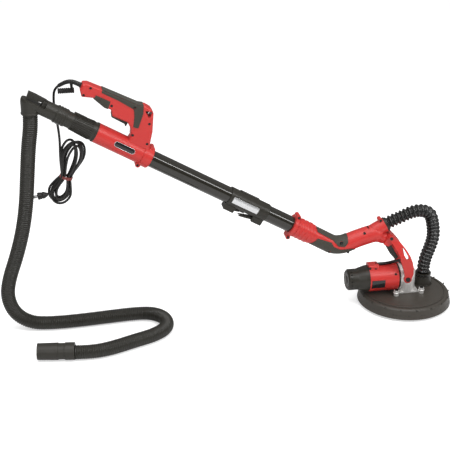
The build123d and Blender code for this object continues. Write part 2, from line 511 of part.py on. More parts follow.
for (s, t), y_head in zip(HANDLE_SCREWS, (-12, -12, -15, -14, -14, -14, -14, -10)):
    point = at(s, t)
    handle += rod(at(s, t, -14), Vector(0, 1, 0), 4.6, 28) if t < 100 else rod(
        at(s, t, -14), Vector(0, 1, 0), 4.2, 28)
    screw, hole = screw_and_hole(point.X, point.Z, y_head, 18)
    handle_screws.append(screw)
    handle -= hole
BADGE_S = (464, 516)
badge_zone = outline([(BADGE_S[0], -4), (BADGE_S[1], -4), (BADGE_S[1], 9), (BADGE_S[0], 9)], 6, SIDE, 4, -TUBE_R)
badge = (pole_rod(S0 + 20, S1, TUBE_R + 0.6) - pole_rod(S0 + 20, S1, TUBE_R - 0.8)) & badge_zone
handle -= badge
keep("handle_badge", badge)
EXIT = (649.0, 89.0)
BOOT_R = 6.0
boot_start = at(EXIT[0] - 16, EXIT[1])
BOOT_ROUTE = [tuple(boot_start), tuple(at(EXIT[0] + 6, EXIT[1])), (-856, 7, 660), (-873, 15, 657),
              (-888, 26, 645)]
boot_hole = tube_along("cord_boot_hole", BOOT_ROUTE, BOOT_R + FIT)
handle -= boot_hole
SKIN_T = 1.2
loop_face = make_face(Polyline(LOOP_OUTER, close=True))
loop_face = fillet(loop_face.vertices(), 3.5)
skin_outer = extrude(SIDE * offset(loop_face, SKIN_T), GRIP_HALF + SKIN_T, both=True)
skin_outer = fillet([e for e in skin_outer.edges() if abs(abs(e.center().Y) - GRIP_HALF - SKIN_T) < 0.01], 5)
SKIN_ZONE = [(606, 115), (601, 98), (556, 99), (514, 96), (504, 80), (494, 56), (482, 59), (489, 98), (501, 122)]
PAD_ZONE = [(612, 70), (610, 87), (572, 88), (568, 60), (600, 60)]
skin_zones = outline(SKIN_ZONE, 2, SIDE, 40) + outline(PAD_ZONE, 2, SIDE, 40)
screw_windows = [cross_rod(at(s, t).X, at(s, t).Z, 3.4, -60, 60) for s, t in HANDLE_SCREWS]
keep("grip_cover", (skin_outer & skin_zones) - outline(LOOP_OUTER, 3.5, SIDE, GRIP_HALF) - screw_windows)
keep("handle_shell_near", near_half(handle))
keep("handle_shell_far", far_half(handle))
keep_group("handle_screws", handle_screws)

# ---- rear sleeve, hose elbow, hose and cuff ----------------------------------------------
SLEEVE_L = SLEEVE_END_S - S1
rear = Plane(origin=at(S1), z_dir=ALONG) * Cone(24, 19.8, SLEEVE_L, align=(Align.CENTER, Align.CENTER, Align.MIN))
rear += side_box(S1 + 34, S1 + 66, 15, 24, 3.5)
rear += pole_rod(REAR_POLE_END, S1 + 1, POLE_R)
ELBOW_IN = 20.0
rear -= pole_rod(REAR_POLE_END - 1, SLEEVE_END_S + 1, 15)
rear -= pole_rod(SLEEVE_END_S - ELBOW_IN, SLEEVE_END_S + 1, 17 + FIT)
keep("rear_sleeve", rear)
E0, E1 = SLEEVE_END_S, 752.0
SPOUT_S, SPOUT_R = 740.0, 21.0
spout_top = at(SPOUT_S, 0)
SPOUT_LOW_Z = 588.0
elbow = pole_rod(E0, 701, 20) + pole_rod(E0 + 8, E0 + 36, 21.6) + pole_rod(E0 - ELBOW_IN, E0 + 2, 17)
elbow += pole_rod(700, SPOUT_S, 20) & side_box(700, SPOUT_S, -30, 2, 30)
spout = rod(Vector(spout_top.X, 0, SPOUT_LOW_Z), Vector(0, 0, 1), SPOUT_R, spout_top.Z - SPOUT_LOW_Z)
spout += Pos(spout_top.X, 0, spout_top.Z) * Sphere(SPOUT_R)
elbow += spout & side_box(680, 780, -60, 2, 30)
elbow -= pole_rod(E0 - ELBOW_IN - 1, SPOUT_S, 15) & side_box(600, SPOUT_S, -40, -1, 30)
elbow -= (Pos(spout_top.X, 0, spout_top.Z) * Sphere(15)) & side_box(680, 780, -40, -1, 30)
elbow -= pole_rod(E0 - ELBOW_IN - 1, 696, 15)
elbow -= rod(Vector(spout_top.X, 0, SPOUT_LOW_Z - 1), Vector(0, 0, 1), 15, 24)
elbow -= rod(Vector(spout_top.X, 0, SPOUT_LOW_Z - 1), Vector(0, 0, 1), HOSE_R + FIT, 11)
LATCH_PIVOT = (706.0, 12.5)
for side in (-1, 1):
    elbow += side_box(699, 711, 1, 18, 1.6, side * 9.2)
elbow -= rod(at(LATCH_PIVOT[0], LATCH_PIVOT[1], -14), Vector(0, 1, 0), 1.55, 28)
keep("hose_elbow", elbow)
bar = outline([(752, 21), (750, 6), (736, 7), (715, 11), (703, 9.5), (703, 20), (712, 20.5), (735, 21.5)],
              1.2, SIDE, 7)
bar += rod(at(LATCH_PIVOT[0], LATCH_PIVOT[1], -7), Vector(0, 1, 0), 2.8, 14)
keep("elbow_latch", bar - rod(at(LATCH_PIVOT[0], LATCH_PIVOT[1], -14), Vector(0, 1, 0), 1.55, 28))
keep("elbow_latch_pin", rod(at(LATCH_PIVOT[0], LATCH_PIVOT[1], -10.8), Vector(0, 1, 0), 1.5, 21.6))

HOSE_ROUTE = [(spout_top.X, 0, SPOUT_LOW_Z + 10), (spout_top.X, 0, 562), (-969, 1.5, 505),
              (-977, 4, 430), (-985, 7, 355), (-998, 10, 285), (-1018, 14, 215), (-1042, 18, 150), (-1052, 20, 98), (-1037, 20, 47),
              (-996, 16, HOSE_R), (-940, 6, HOSE_R), (-865, 8, HOSE_R), (-795, 14, HOSE_R), (-730, 19, HOSE_R),
              (-683, 14, HOSE_R), (-652, -18, HOSE_R), (-652, -66, HOSE_R), (-688, -100, HOSE_R),
              (-745, -122, HOSE_R), (-800, -146, HOSE_R), (-850, -157, HOSE_R), (-893, -151, HOSE_R)]
keep("vacuum_hose", tube_along("vacuum_hose", HOSE_ROUTE, HOSE_R, HOSE_WALL))
hose_end = Vector(*HOSE_ROUTE[-1])
cuff_dir = (hose_end - Vector(*HOSE_ROUTE[-2])).normalized()
cuff_start = Vector(hose_end.X, hose_end.Y, CUFF_R)
cuff = turned([(HOSE_R - HOSE_WALL, 0), (CUFF_R, 0), (CUFF_R, 24), (CUFF_R - 1.6, 25), (CUFF_R - 1.6, 40),
               (CUFF_R - 0.3, 41), (CUFF_R - 1.2, CUFF_L), (CUFF_R - 1.2 - CUFF_WALL, CUFF_L),
               (CUFF_R - 1.2 - CUFF_WALL, 30), (HOSE_R - HOSE_WALL, 24)], cuff_start, cuff_dir)
keep("hose_cuff", cuff)

# ---- corrugated duct of the head ---------------------------------------------------------
DUCT_TOP = tuple(PORT - PORT_DIR * 12)
DUCT_MIDDLE = (71.5, 10, 211)
DUCT_A = [DUCT_TOP, tuple(PORT + PORT_DIR * 19), (-22, 0.4, 249), (0, 1, 259), (26, 3, 263), (50, 5, 257),
          (65, 7, 241), DUCT_MIDDLE]
DUCT_B = [DUCT_MIDDLE, (77.35, 12.7, 184), (72, 17, 150), (64, 22, 118), (PORT_X, PORT_Y, 92),
          (PORT_X, PORT_Y, PORT_TOP_Z)]
keep("duct_upper", tube_along("duct_upper", DUCT_A, DUCT_R - 0.2, DUCT_WALL))
keep("duct_lower", tube_along("duct_lower", DUCT_B, DUCT_R - 0.2, DUCT_WALL))

# ---- power cord --------------------------------------------------------------------------
boot = tube_along("cord_boot", BOOT_ROUTE, BOOT_R)
CLIP = Vector(-857, 20, 634)          # a spring clip for the lead, hung below the strain relief
clip = rod(CLIP + XDIR * 5, -XDIR, 7, 39) + rod(CLIP, Vector(-2, -11, 22), 3.5, 25)
keep_group("cord_boot", [boot, clip - boot])
CORD_ROUTE = [(-888, 26, 645), (-898.6, 34, 636), (-902, 37, 608), (-900, 37, 578), (-896, 36, 545),
              (-893, 34, 505), (-888, 31, 470)]
keep("power_cord", tube_along("power_cord", CORD_ROUTE, CORD_R) - boot)
HANK_Y, HANK_HALF = 31.0, 13.0
UPPER_LOBE = [(-896, 465), (-888, 492), (-866, 506), (-838, 497), (-828, 462), (-846, 428), (-874, 408), (-890, 418)]
LOWER_LOBE = [(-896, 412), (-874, 406), (-868, 390), (-882, 360), (-908, 341), (-930, 344), (-938, 366), (-922, 392)]
hank = outline(UPPER_LOBE, 8, Plane.XZ, HANK_HALF, HANK_Y) + outline(LOWER_LOBE, 6, Plane.XZ, HANK_HALF, HANK_Y)
hank += outline([(-897, 426), (-868, 426), (-868, 396), (-897, 396)], 3, Plane.XZ, HANK_HALF, HANK_Y)
keep("cord_hank", hank - nodes["power_cord"])
tie = outline([(-900, 420), (-868, 420), (-868, 400), (-900, 400)], 3, Plane.XZ, HANK_HALF + 2, HANK_Y)
keep("cord_tie", tie - hank)
plug = rod(Vector(-937.5, HANK_Y, 366), Vector(-1, 0, -0.15), 9, 18)
for offset in (-5, 5):
    plug += rod(Vector(-955, HANK_Y + offset, 363.4), Vector(-1, 0, -0.15), 2.2, 14)
keep("plug", plug - hank)

for name, shape in nodes.items():
    export_step(shape, "parts/" + name + ".step")
print(len(nodes), "nodes")
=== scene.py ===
import json
from math import cos, pi, radians, sin

import bmesh
import bpy
from mathutils import Matrix, Vector


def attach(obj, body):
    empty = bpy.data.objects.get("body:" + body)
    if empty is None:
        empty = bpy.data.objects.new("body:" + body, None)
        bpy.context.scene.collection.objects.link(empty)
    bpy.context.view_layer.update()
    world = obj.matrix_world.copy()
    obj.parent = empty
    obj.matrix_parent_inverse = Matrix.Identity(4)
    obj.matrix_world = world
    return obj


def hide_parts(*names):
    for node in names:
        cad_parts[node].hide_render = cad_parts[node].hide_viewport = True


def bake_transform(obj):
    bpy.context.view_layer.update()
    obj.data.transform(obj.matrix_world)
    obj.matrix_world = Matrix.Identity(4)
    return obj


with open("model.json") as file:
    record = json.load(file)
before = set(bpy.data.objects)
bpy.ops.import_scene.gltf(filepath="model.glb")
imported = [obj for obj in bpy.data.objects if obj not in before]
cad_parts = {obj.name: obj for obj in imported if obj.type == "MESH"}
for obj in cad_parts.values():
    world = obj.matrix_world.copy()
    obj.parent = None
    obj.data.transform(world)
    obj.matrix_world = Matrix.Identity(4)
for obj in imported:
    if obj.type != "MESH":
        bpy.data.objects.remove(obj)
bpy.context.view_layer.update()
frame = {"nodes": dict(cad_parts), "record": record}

# Pole drywall sander.  Metres, +Z up; the pole rises towards -X in the X-Z plane.
scene = bpy.context.scene
MM = 0.001

# ---- frames shared with the part ----------------------------------------------------------
POLE_ANGLE = radians(30)
POLE_FOOT = Vector((-318, 0, 250)) * MM
ALONG = Vector((-cos(POLE_ANGLE), 0, sin(POLE_ANGLE)))
UP = Vector((sin(POLE_ANGLE), 0, cos(POLE_ANGLE)))
SIDEWAYS = Vector((0, 1, 0))
PORT_RISE = radians(28)
PORT = Vector((-64, 0, 231.5)) * MM
PORT_DIR = Vector((cos(PORT_RISE), 0, sin(PORT_RISE)))
MOTOR_Z = 76 * MM
SHROUD_R, SHROUD_TOP_R = 125 * MM, 119.5 * MM
HOSE_R, CUFF_R = 18 * MM, 21.8 * MM
DUCT_R = 17 * MM
CORD_R = 3 * MM


def at(s, t=0.0, y=0.0):
    """A point from its place along the pole, above its axis and to the side, in mm."""
    return POLE_FOOT + (ALONG * s + UP * t + SIDEWAYS * y) * MM


def point(x, y, z):
    return Vector((x, y, z)) * MM


def placed(origin, z_dir, x_dir=Vector((0, 0, 1))):
    """A matrix that puts local Z along z_dir, with local X as near x_dir as it can be."""
    z = Vector(z_dir).normalized()
    x = Vector(x_dir)
    x -= z * x.dot(z)
    x = x.normalized() if x.length > 0.001 else z.orthogonal().normalized()
    y = z.cross(x)
    turn = Matrix((x, y, z)).transposed().to_4x4()
    return Matrix.Translation(origin) @ turn


# ---- shader groups ------------------------------------------------------------------------
def shader_group(name, inputs, outputs):
    group = bpy.data.node_groups.new(name, "ShaderNodeTree")
    for label, kind, value in inputs:
        socket = group.interface.new_socket(label, in_out="INPUT", socket_type="NodeSocket" + kind)
        if value is not None:
            socket.default_value = value
    for label, kind in outputs:
        group.interface.new_socket(label, in_out="OUTPUT", socket_type="NodeSocket" + kind)
    return group


def add(tree, kind, links=None, **settings):
    """Add a node, set its properties, and feed its inputs from sockets or plain values."""
    node = tree.nodes.new(kind)
    for key, value in settings.items():
        setattr(node, key, value)
    for socket, source in (links or {}).items():
        target = node.inputs[socket]
        if isinstance(source, bpy.types.NodeSocket):
            tree.links.new(source, target)
        else:
            target.default_value = source
    return node


def calc(tree, operation, a, b=0.0, clamp=False):
    return add(tree, "ShaderNodeMath", {0: a, 1: b}, operation=operation, use_clamp=clamp).outputs[0]


def mix_colour(tree, factor, a, b, blend="MIX"):
    node = add(tree, "ShaderNodeMix", {0: factor}, data_type="RGBA", blend_type=blend)
    for socket, source in ((node.inputs[6], a), (node.inputs[7], b)):
        if isinstance(source, bpy.types.NodeSocket):
            tree.links.new(source, socket)
        else:
            socket.default_value = source
    return node.outputs[2]


def make_grain():
    """Fine moulded grain: a bumped normal and a roughness that wanders a little."""
    g = shader_group("Moulded grain",
                     [("Place", "Vector", None), ("Scale", "Float", 1600.0), ("Depth", "Float", 0.1),
                      ("Roughness", "Float", 0.4), ("Wander", "Float", 0.08), ("Normal", "Vector", None)],
                     [("Roughness", "Float"), ("Normal", "Vector")])
    i = add(g, "NodeGroupInput").outputs
    fine = add(g, "ShaderNodeTexNoise", {"Vector": i["Place"], "Scale": i["Scale"], "Detail": 2.0})
    broad = add(g, "ShaderNodeTexNoise", {"Vector": i["Place"], "Scale": 34.0, "Detail": 3.0})
    bump = add(g, "ShaderNodeBump", {"Strength": i["Depth"], "Distance": 0.0004, "Height": fine.outputs[0],
                                     "Normal": i["Normal"]})
    swing = calc(g, "MULTIPLY", calc(g, "SUBTRACT", broad.outputs[0], 0.5), i["Wander"])
    rough = calc(g, "ADD", i["Roughness"], calc(g, "MULTIPLY", swing, 2.0), clamp=True)
    add(g, "NodeGroupOutput", {"Roughness": rough, "Normal": bump.outputs[0]})
    return g


def make_tone():
    """Slow colour variation over a moulded or painted surface."""
    g = shader_group("Colour tone",
                     [("Place", "Vector", None), ("Color", "Color", (0.5, 0.5, 0.5, 1)),
                      ("Amount", "Float", 0.08), ("Scale", "Float", 14.0)],
                     [("Color", "Color")])
    i = add(g, "NodeGroupInput").outputs
    noise = add(g, "ShaderNodeTexNoise", {"Vector": i["Place"], "Scale": i["Scale"], "Detail": 4.0})
    level = calc(g, "MULTIPLY", calc(g, "SUBTRACT", noise.outputs[0], 0.5), i["Amount"])
    lift = calc(g, "ADD", 1.0, calc(g, "MULTIPLY", level, 2.0))
    shade = add(g, "ShaderNodeCombineColor", {0: lift, 1: lift, 2: lift})
    add(g, "NodeGroupOutput", {"Color": mix_colour(g, 1.0, i["Color"], shade.outputs[0], "MULTIPLY")})
    return g


def make_edge():
    """A rounded-edge normal, and a mask that is high along edges where handling wears them."""
    g = shader_group("Handled edge",
                     [("Place", "Vector", None), ("Radius", "Float", 0.0008), ("Wear", "Float", 0.3)],
                     [("Mask", "Float"), ("Normal", "Vector")])
    i = add(g, "NodeGroupInput").outputs
    soft = add(g, "ShaderNodeBevel", {"Radius": i["Radius"]}, samples=6)
    flat = add(g, "ShaderNodeNewGeometry").outputs["Normal"]
    match = add(g, "ShaderNodeVectorMath", {0: soft.outputs[0], 1: flat}, operation="DOT_PRODUCT")
    edge = calc(g, "MULTIPLY", calc(g, "SUBTRACT", 1.0, match.outputs["Value"]), 5.0, clamp=True)
    patchy = add(g, "ShaderNodeTexNoise", {"Vector": i["Place"], "Scale": 160.0, "Detail": 3.0})
    worn = calc(g, "MULTIPLY", calc(g, "MULTIPLY", edge, patchy.outputs[0]), i["Wear"], clamp=True)
    add(g, "NodeGroupOutput", {"Mask": worn, "Normal": soft.outputs[0]})
    return g


def make_dust():
    """A thin film of pale dust, heavier on faces that look up."""
    g = shader_group("Settled dust",
                     [("Place", "Vector", None), ("Color", "Color", (0.5, 0.5, 0.5, 1)),
                      ("Amount", "Float", 0.05)],
                     [("Color", "Color")])
    i = add(g, "NodeGroupInput").outputs
    up = add(g, "ShaderNodeSeparateXYZ", {0: add(g, "ShaderNodeTexCoord").outputs["Normal"]}).outputs[2]
    facing = calc(g, "ADD", calc(g, "MULTIPLY", up, 0.5), 0.5, clamp=True)
    noise = add(g, "ShaderNodeTexNoise", {"Vector": i["Place"], "Scale": 60.0, "Detail": 6.0,
                                          "Roughness": 0.7})
    film = calc(g, "MULTIPLY", calc(g, "MULTIPLY", noise.outputs[0], facing), i["Amount"], clamp=True)
    add(g, "NodeGroupOutput", {"Color": mix_colour(g, film, i["Color"], (0.62, 0.58, 0.52, 1))})
    return g


GRAIN, TONE, EDGE, DUST = make_grain(), make_tone(), make_edge(), make_dust()


def finish_of(name, colour, roughness, grain=(1600.0, 0.1), wander=0.06, tone=(0.08, 14.0), edge=(0.8, 0.25),
              worn=None, dust=0.0, metallic=0.0, coat=0.0, specular=0.5, sheen=0.0, extra=None):
    """A material from the shared effects.  grain is (scale, depth), tone is (amount, scale),
    and edge is (radius in mm, wear).  extra may change the colour and normal further."""
    material = bpy.data.materials.new(name)
    material.use_nodes = True
    t = material.node_tree
    shader = t.nodes["Principled BSDF"]
    place = add(t, "ShaderNodeTexCoord").outputs["Object"]

    def effect(group, links):
        node = add(t, "ShaderNodeGroup", node_tree=group)
        for socket, source in links.items():
            if isinstance(source, bpy.types.NodeSocket):
                t.links.new(source, node.inputs[socket])
            else:
                node.inputs[socket].default_value = source
        return node.outputs

    rounded = effect(EDGE, {"Place": place, "Radius": edge[0] * MM, "Wear": edge[1]})
    toned = effect(TONE, {"Place": place, "Color": (*colour, 1), "Amount": tone[0], "Scale": tone[1]})
    pale = worn if worn is not None else [min(1.0, c * 1.6 + 0.06) for c in colour]
    colour_now = mix_colour(t, rounded["Mask"], toned["Color"], (*pale, 1))
    if dust > 0:
        colour_now = effect(DUST, {"Place": place, "Color": colour_now, "Amount": dust})["Color"]
    grained = effect(GRAIN, {"Place": place, "Scale": grain[0], "Depth": grain[1], "Roughness": roughness,
                             "Wander": wander, "Normal": rounded["Normal"]})
    normal = grained["Normal"]
    if extra is not None:
        colour_now, normal = extra(t, place, colour_now, normal)
    t.links.new(colour_now, shader.inputs["Base Color"])
    t.links.new(grained["Roughness"], shader.inputs["Roughness"])
    t.links.new(normal, shader.inputs["Normal"])
    shader.inputs["Metallic"].default_value = metallic
    shader.inputs["Coat Weight"].default_value = coat
    shader.inputs["Coat Roughness"].default_value = 0.08
    shader.inputs["Specular IOR Level"].default_value = specular
    shader.inputs["Sheen Weight"].default_value = sheen
    return material


def grit(t, place, colour, normal):
    """Loose abrasive grains over an open mesh."""
    cells = add(t, "ShaderNodeTexVoronoi", {"Vector": place, "Scale": 1500.0})
    tint = mix_colour(t, cells.outputs["Distance"], colour, (0.55, 0.42, 0.3, 1))
    bump = add(t, "ShaderNodeBump", {"Strength": 0.6, "Distance": 0.0004, "Height": cells.outputs["Distance"],
                                     "Normal": normal})
    return tint, bump.outputs[0]


def pores(t, place, colour, normal):
    """Open cells of a soft foam, with painted shade darkening the pits of the cells."""
    cells = add(t, "ShaderNodeTexVoronoi", {"Vector": place, "Scale": 900.0})
    bump = add(t, "ShaderNodeBump", {"Strength": 0.8, "Distance": 0.0006, "Height": cells.outputs["Distance"],
                                     "Normal": normal})
    # Painted shade: the colour falls to near black towards each cell's centre, where the bumped pits sink.
    dark = mix_colour(t, cells.outputs["Distance"], (0.01, 0.01, 0.01, 1), colour)
    return dark, bump.outputs[0]


def casting(t, place, colour, normal):
    """The soft unevenness of a die casting."""
    noise = add(t, "ShaderNodeTexNoise", {"Vector": place, "Scale": 220.0, "Detail": 5.0})
    bump = add(t, "ShaderNodeBump", {"Strength": 0.35, "Distance": 0.0008, "Height": noise.outputs[0],
                                     "Normal": normal})
    share = calc(t, "MULTIPLY", noise.outputs[0], 0.35)
    return mix_colour(t, share, colour, (0.38, 0.37, 0.35, 1)), bump.outputs[0]


def lengthwise(t, place, colour, normal):
    """Faint marks drawn along a plate."""
    stretched = add(t, "ShaderNodeMapping", {"Vector": place, "Scale": (60.0, 900.0, 900.0)})
    noise = add(t, "ShaderNodeTexNoise", {"Vector": stretched.outputs[0], "Scale": 1.0, "Detail": 2.0})
    bump = add(t, "ShaderNodeBump", {"Strength": 0.15, "Distance": 0.0002, "Height": noise.outputs[0],
                                     "Normal": normal})
    share = calc(t, "MULTIPLY", noise.outputs[0], 0.25)
    return mix_colour(t, share, colour, (0.45, 0.45, 0.45, 1)), bump.outputs[0]


FINISHES = {
    "red_plastic": finish_of("casing_red", (0.56, 0.030, 0.026), 0.34, grain=(1500.0, 0.12), tone=(0.07, 12.0),
                             edge=(1.2, 0.3), worn=(0.72, 0.13, 0.11), dust=0.015, specular=0.42),
    "black_plastic": finish_of("moulded_black", (0.022, 0.020, 0.015), 0.36, grain=(1800.0, 0.15),
                               edge=(0.9, 0.2), worn=(0.05, 0.05, 0.05), dust=0.012, specular=0.34),
    "dark_plastic": finish_of("moulded_dark", (0.026, 0.024, 0.019), 0.38, grain=(1700.0, 0.2),
                              edge=(0.9, 0.25), dust=0.02, specular=0.36),
    "shroud_plastic": finish_of("shroud_grey", (0.044, 0.038, 0.031), 0.42, grain=(1300.0, 0.22),
                                tone=(0.12, 22.0), edge=(1.5, 0.3), dust=0.035, specular=0.38),
    "grip_rubber": finish_of("soft_grip", (0.046, 0.042, 0.032), 0.55, grain=(1100.0, 0.35), edge=(1.0, 0.15),
                             dust=0.02, specular=0.3, sheen=0.06),
    "tube_black": finish_of("tube_gloss", (0.015, 0.013, 0.009), 0.13, grain=(300.0, 0.015), wander=0.03,
                            tone=(0.1, 30.0), edge=(0.3, 0.15), coat=0.5, specular=0.4),
    "cast_aluminium": finish_of("cast_alloy", (0.90, 0.89, 0.87), 0.30, grain=(900.0, 0.15), edge=(0.9, 0.3),
                                worn=(0.97, 0.97, 0.95), metallic=0.5, extra=casting),
    # Screw heads coloured near black: painted shade standing in for the dark of their recesses.
    "steel": finish_of("screw_painted_recess_shade", (0.022, 0.021, 0.020), 0.32, grain=(2200.0, 0.08), edge=(0.3, 0.5),
                       metallic=0.6),
    "abrasive": finish_of("abrasive_grit", (0.24, 0.15, 0.1), 0.8, grain=(2600.0, 0.5), extra=grit),
    "foam": finish_of("foam_open", (0.05, 0.05, 0.05), 0.9, grain=(1200.0, 0.4), extra=pores),
    "bristle": finish_of("bristle_nylon", (0.014, 0.014, 0.014), 0.5, grain=(2500.0, 0.05), edge=(0.1, 0.0),
                         specular=0.3, sheen=0.1),
    "badge_dark": finish_of("plate_dark", (0.008, 0.008, 0.009), 0.2, grain=(2400.0, 0.03), edge=(0.4, 0.3),
                            coat=0.3),
    "plate_silver": finish_of("plate_drawn", (0.74, 0.75, 0.76), 0.28, grain=(2400.0, 0.05), edge=(0.4, 0.3),
                              metallic=0.8, extra=lengthwise),
    "hose_black": finish_of("hose_skin", (0.017, 0.016, 0.012), 0.33, grain=(900.0, 0.12), tone=(0.2, 18.0),
                            edge=(0.3, 0.1), dust=0.02, specular=0.4),
    "duct_black": finish_of("duct_skin", (0.008, 0.008, 0.0078), 0.2, grain=(700.0, 0.05), tone=(0.15, 25.0),
                            edge=(0.3, 0.15), coat=0.3, dust=0.012, specular=0.42),
    "cuff_grey": finish_of("cuff_moulded", (0.024, 0.022, 0.017), 0.40, grain=(1500.0, 0.18), edge=(0.8, 0.35),
                           dust=0.025, specular=0.36),
    "cable_black": finish_of("cable_jacket", (0.010, 0.0095, 0.009), 0.36, grain=(1900.0, 0.12),
                             tone=(0.15, 40.0), edge=(0.2, 0.1), dust=0.012, specular=0.38),
    "tie_red": finish_of("tie_wire", (0.24, 0.05, 0.045), 0.45, grain=(2000.0, 0.1), edge=(0.3, 0.3)),
}
BRIGHT_PIN = finish_of("pin_steel", (0.6, 0.6, 0.6), 0.25, grain=(2600.0, 0.05), edge=(0.3, 0.4), metallic=1.0)

for part in frame["record"]["subparts"]:
    node = frame["nodes"][part["node"]]
    node.data.materials.clear()
    node.data.materials.append(FINISHES[part["material_slot"]])


# ---- making pieces ------------------------------------------------------------------------
def piece_from(name, mesh, body, slot):
    """Link a finished mesh as a piece that rides on a body and takes a record slot's finish."""
    mesh.name = name
    piece = bpy.data.objects.new(name, mesh)
    scene.collection.objects.link(piece)
    if not mesh.materials:
        mesh.materials.append(FINISHES[slot])
    if body is not None:
        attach(piece, body)
    return piece


def outward(mesh, smooth_angle=None):
    """Merge doubles and turn every face outwards."""
    shape = bmesh.new()
    shape.from_mesh(mesh)
    bmesh.ops.remove_doubles(shape, verts=shape.verts, dist=1e-6)
    bmesh.ops.recalc_face_normals(shape, faces=shape.faces)
    shape.to_mesh(mesh)
    shape.free()
    if smooth_angle is not None:
        mesh.shade_smooth()
        mesh.set_sharp_from_angle(angle=radians(smooth_angle))
    return mesh


def lathe(name, profile, origin, direction, segments=56, smooth_angle=35):
    """A closed turned shape from (radius, height) points in mm about a line."""
    verts, faces = [], []
    for k in range(segments):
        turn = 2 * pi * k / segments
        for radius, height in profile:
            verts.append((radius * MM * cos(turn), radius * MM * sin(turn), height * MM))
    count = len(profile)
    for k in range(segments):
        for j in range(count):
            a, b = k * count + j, k * count + (j + 1) % count
            c, d = (k + 1) % segments * count + (j + 1) % count, (k + 1) % segments * count + j
            faces.append((a, b, c, d))
    mesh = bpy.data.meshes.new(name)
    mesh.from_pydata(verts, [], faces)
    mesh.transform(placed(origin, direction))
    return outward(mesh, smooth_angle)


def spline_of(name, points, radius=0.0):
    """One open NURBS spline through the route's control points."""
    curve = bpy.data.curves.new(name, "CURVE")
    curve.dimensions = "3D"
    curve.resolution_u = 14
    spline = curve.splines.new("NURBS")
    spline.points.add(len(points) - 1)
    for target, p in zip(spline.points, points):
        target.co = (*p, 1.0)
    spline.order_u = 3
    spline.use_endpoint_u = True
    if radius > 0:
        curve.bevel_depth = radius
        curve.bevel_resolution = 6
        curve.use_fill_caps = True
    return curve


def followed(points):
    """The points of a route's NURBS spline, in order."""
    holder = bpy.data.objects.new("route", spline_of("route", points))
    scene.collection.objects.link(holder)
    evaluated = holder.evaluated_get(bpy.context.evaluated_depsgraph_get())
    line = bpy.data.meshes.new_from_object(evaluated)
    found = [v.co.copy() for v in line.vertices]
    bpy.data.objects.remove(holder)
    return found


def length_of(points):
    return sum((b - a).length for a, b in zip(points, points[1:]))


# ---- geometry trees -----------------------------------------------------------------------
def geometry_tree(name, inputs):
    group = bpy.data.node_groups.new(name, "GeometryNodeTree")
    group.is_modifier = True
    group.interface.new_socket("Geometry", in_out="INPUT", socket_type="NodeSocketGeometry")
    for label, kind, value in inputs:
        socket = group.interface.new_socket(label, in_out="INPUT", socket_type="NodeSocket" + kind)
        if value is not None:
            socket.default_value = value
    group.interface.new_socket("Material", in_out="INPUT", socket_type="NodeSocketMaterial")
    group.interface.new_socket("Geometry", in_out="OUTPUT", socket_type="NodeSocketGeometry")
    return group, add(group, "NodeGroupInput").outputs


def close_tree(group, geometry, material, smooth):
    """Realize, shade, set the material and send out."""
    real = add(group, "GeometryNodeRealizeInstances", {"Geometry": geometry}).outputs[0]
    shaded = add(group, "GeometryNodeSetShadeSmooth", {"Geometry": real, "Shade Smooth": smooth}).outputs[0]
    done = add(group, "GeometryNodeSetMaterial", {"Geometry": shaded, "Material": material}).outputs[0]
    add(group, "NodeGroupOutput", {0: done})
    return group


def ribbed_tube_tree():
    """A tube along a line, its radius rising into evenly spaced ribs and tapering end to end."""
    g, i = geometry_tree("Ribbed tube", [("Start radius", "Float", 0.016), ("End radius", "Float", 0.016),
                                         ("Rib depth", "Float", 0.002), ("Rib pitch", "Float", 0.006),
                                         ("Sharpness", "Float", 1.0), ("Sides", "Int", 36)])
    line = add(g, "GeometryNodeMeshToCurve", {"Mesh": i["Geometry"]}).outputs[0]
    step = calc(g, "DIVIDE", i["Rib pitch"], 9.0)
    even = add(g, "GeometryNodeResampleCurve", {"Curve": line, "Length": step}, mode="LENGTH").outputs[0]
    along = add(g, "GeometryNodeSplineParameter").outputs
    turns = calc(g, "DIVIDE", along["Length"], i["Rib pitch"])
    wave = calc(g, "COSINE", calc(g, "MULTIPLY", turns, 2 * pi))
    level = calc(g, "ADD", calc(g, "MULTIPLY", wave, -0.5), 0.5, clamp=True)
    rib = calc(g, "MULTIPLY", calc(g, "POWER", level, i["Sharpness"]), i["Rib depth"])
    drop = calc(g, "SUBTRACT", i["End radius"], i["Start radius"])
    base = calc(g, "ADD", i["Start radius"], calc(g, "MULTIPLY", drop, along["Factor"]))
    ring = add(g, "GeometryNodeCurvePrimitiveCircle", {"Resolution": i["Sides"], "Radius": 1.0}).outputs[0]
    tube = add(g, "GeometryNodeCurveToMesh", {"Curve": even, "Profile Curve": ring, "Fill Caps": True,
                                              "Scale": calc(g, "ADD", base, rib)})
    return close_tree(g, tube.outputs[0], i["Material"], True)


def block_ring_tree():
    """Small blocks spaced evenly round a circle, each turned to face outwards."""
    g, i = geometry_tree("Blocks in a ring", [("Count", "Int", 24), ("Radius", "Float", 0.02),
                                              ("Size", "Vector", (0.002, 0.002, 0.01)),
                                              ("Lean", "Float", 0.0)])
    circle = add(g, "GeometryNodeMeshCircle", {"Vertices": i["Count"], "Radius": i["Radius"]}).outputs[0]
    share = calc(g, "DIVIDE", add(g, "GeometryNodeInputIndex").outputs[0], i["Count"])
    turn = add(g, "ShaderNodeCombineXYZ", {1: i["Lean"], 2: calc(g, "MULTIPLY", share, 2 * pi)})
    block = add(g, "GeometryNodeMeshCube", {"Size": i["Size"]}).outputs[0]
    spread = add(g, "GeometryNodeInstanceOnPoints", {"Points": circle, "Instance": block,
                                                     "Rotation": turn.outputs[0]})
    return close_tree(g, spread.outputs[0], i["Material"], False)


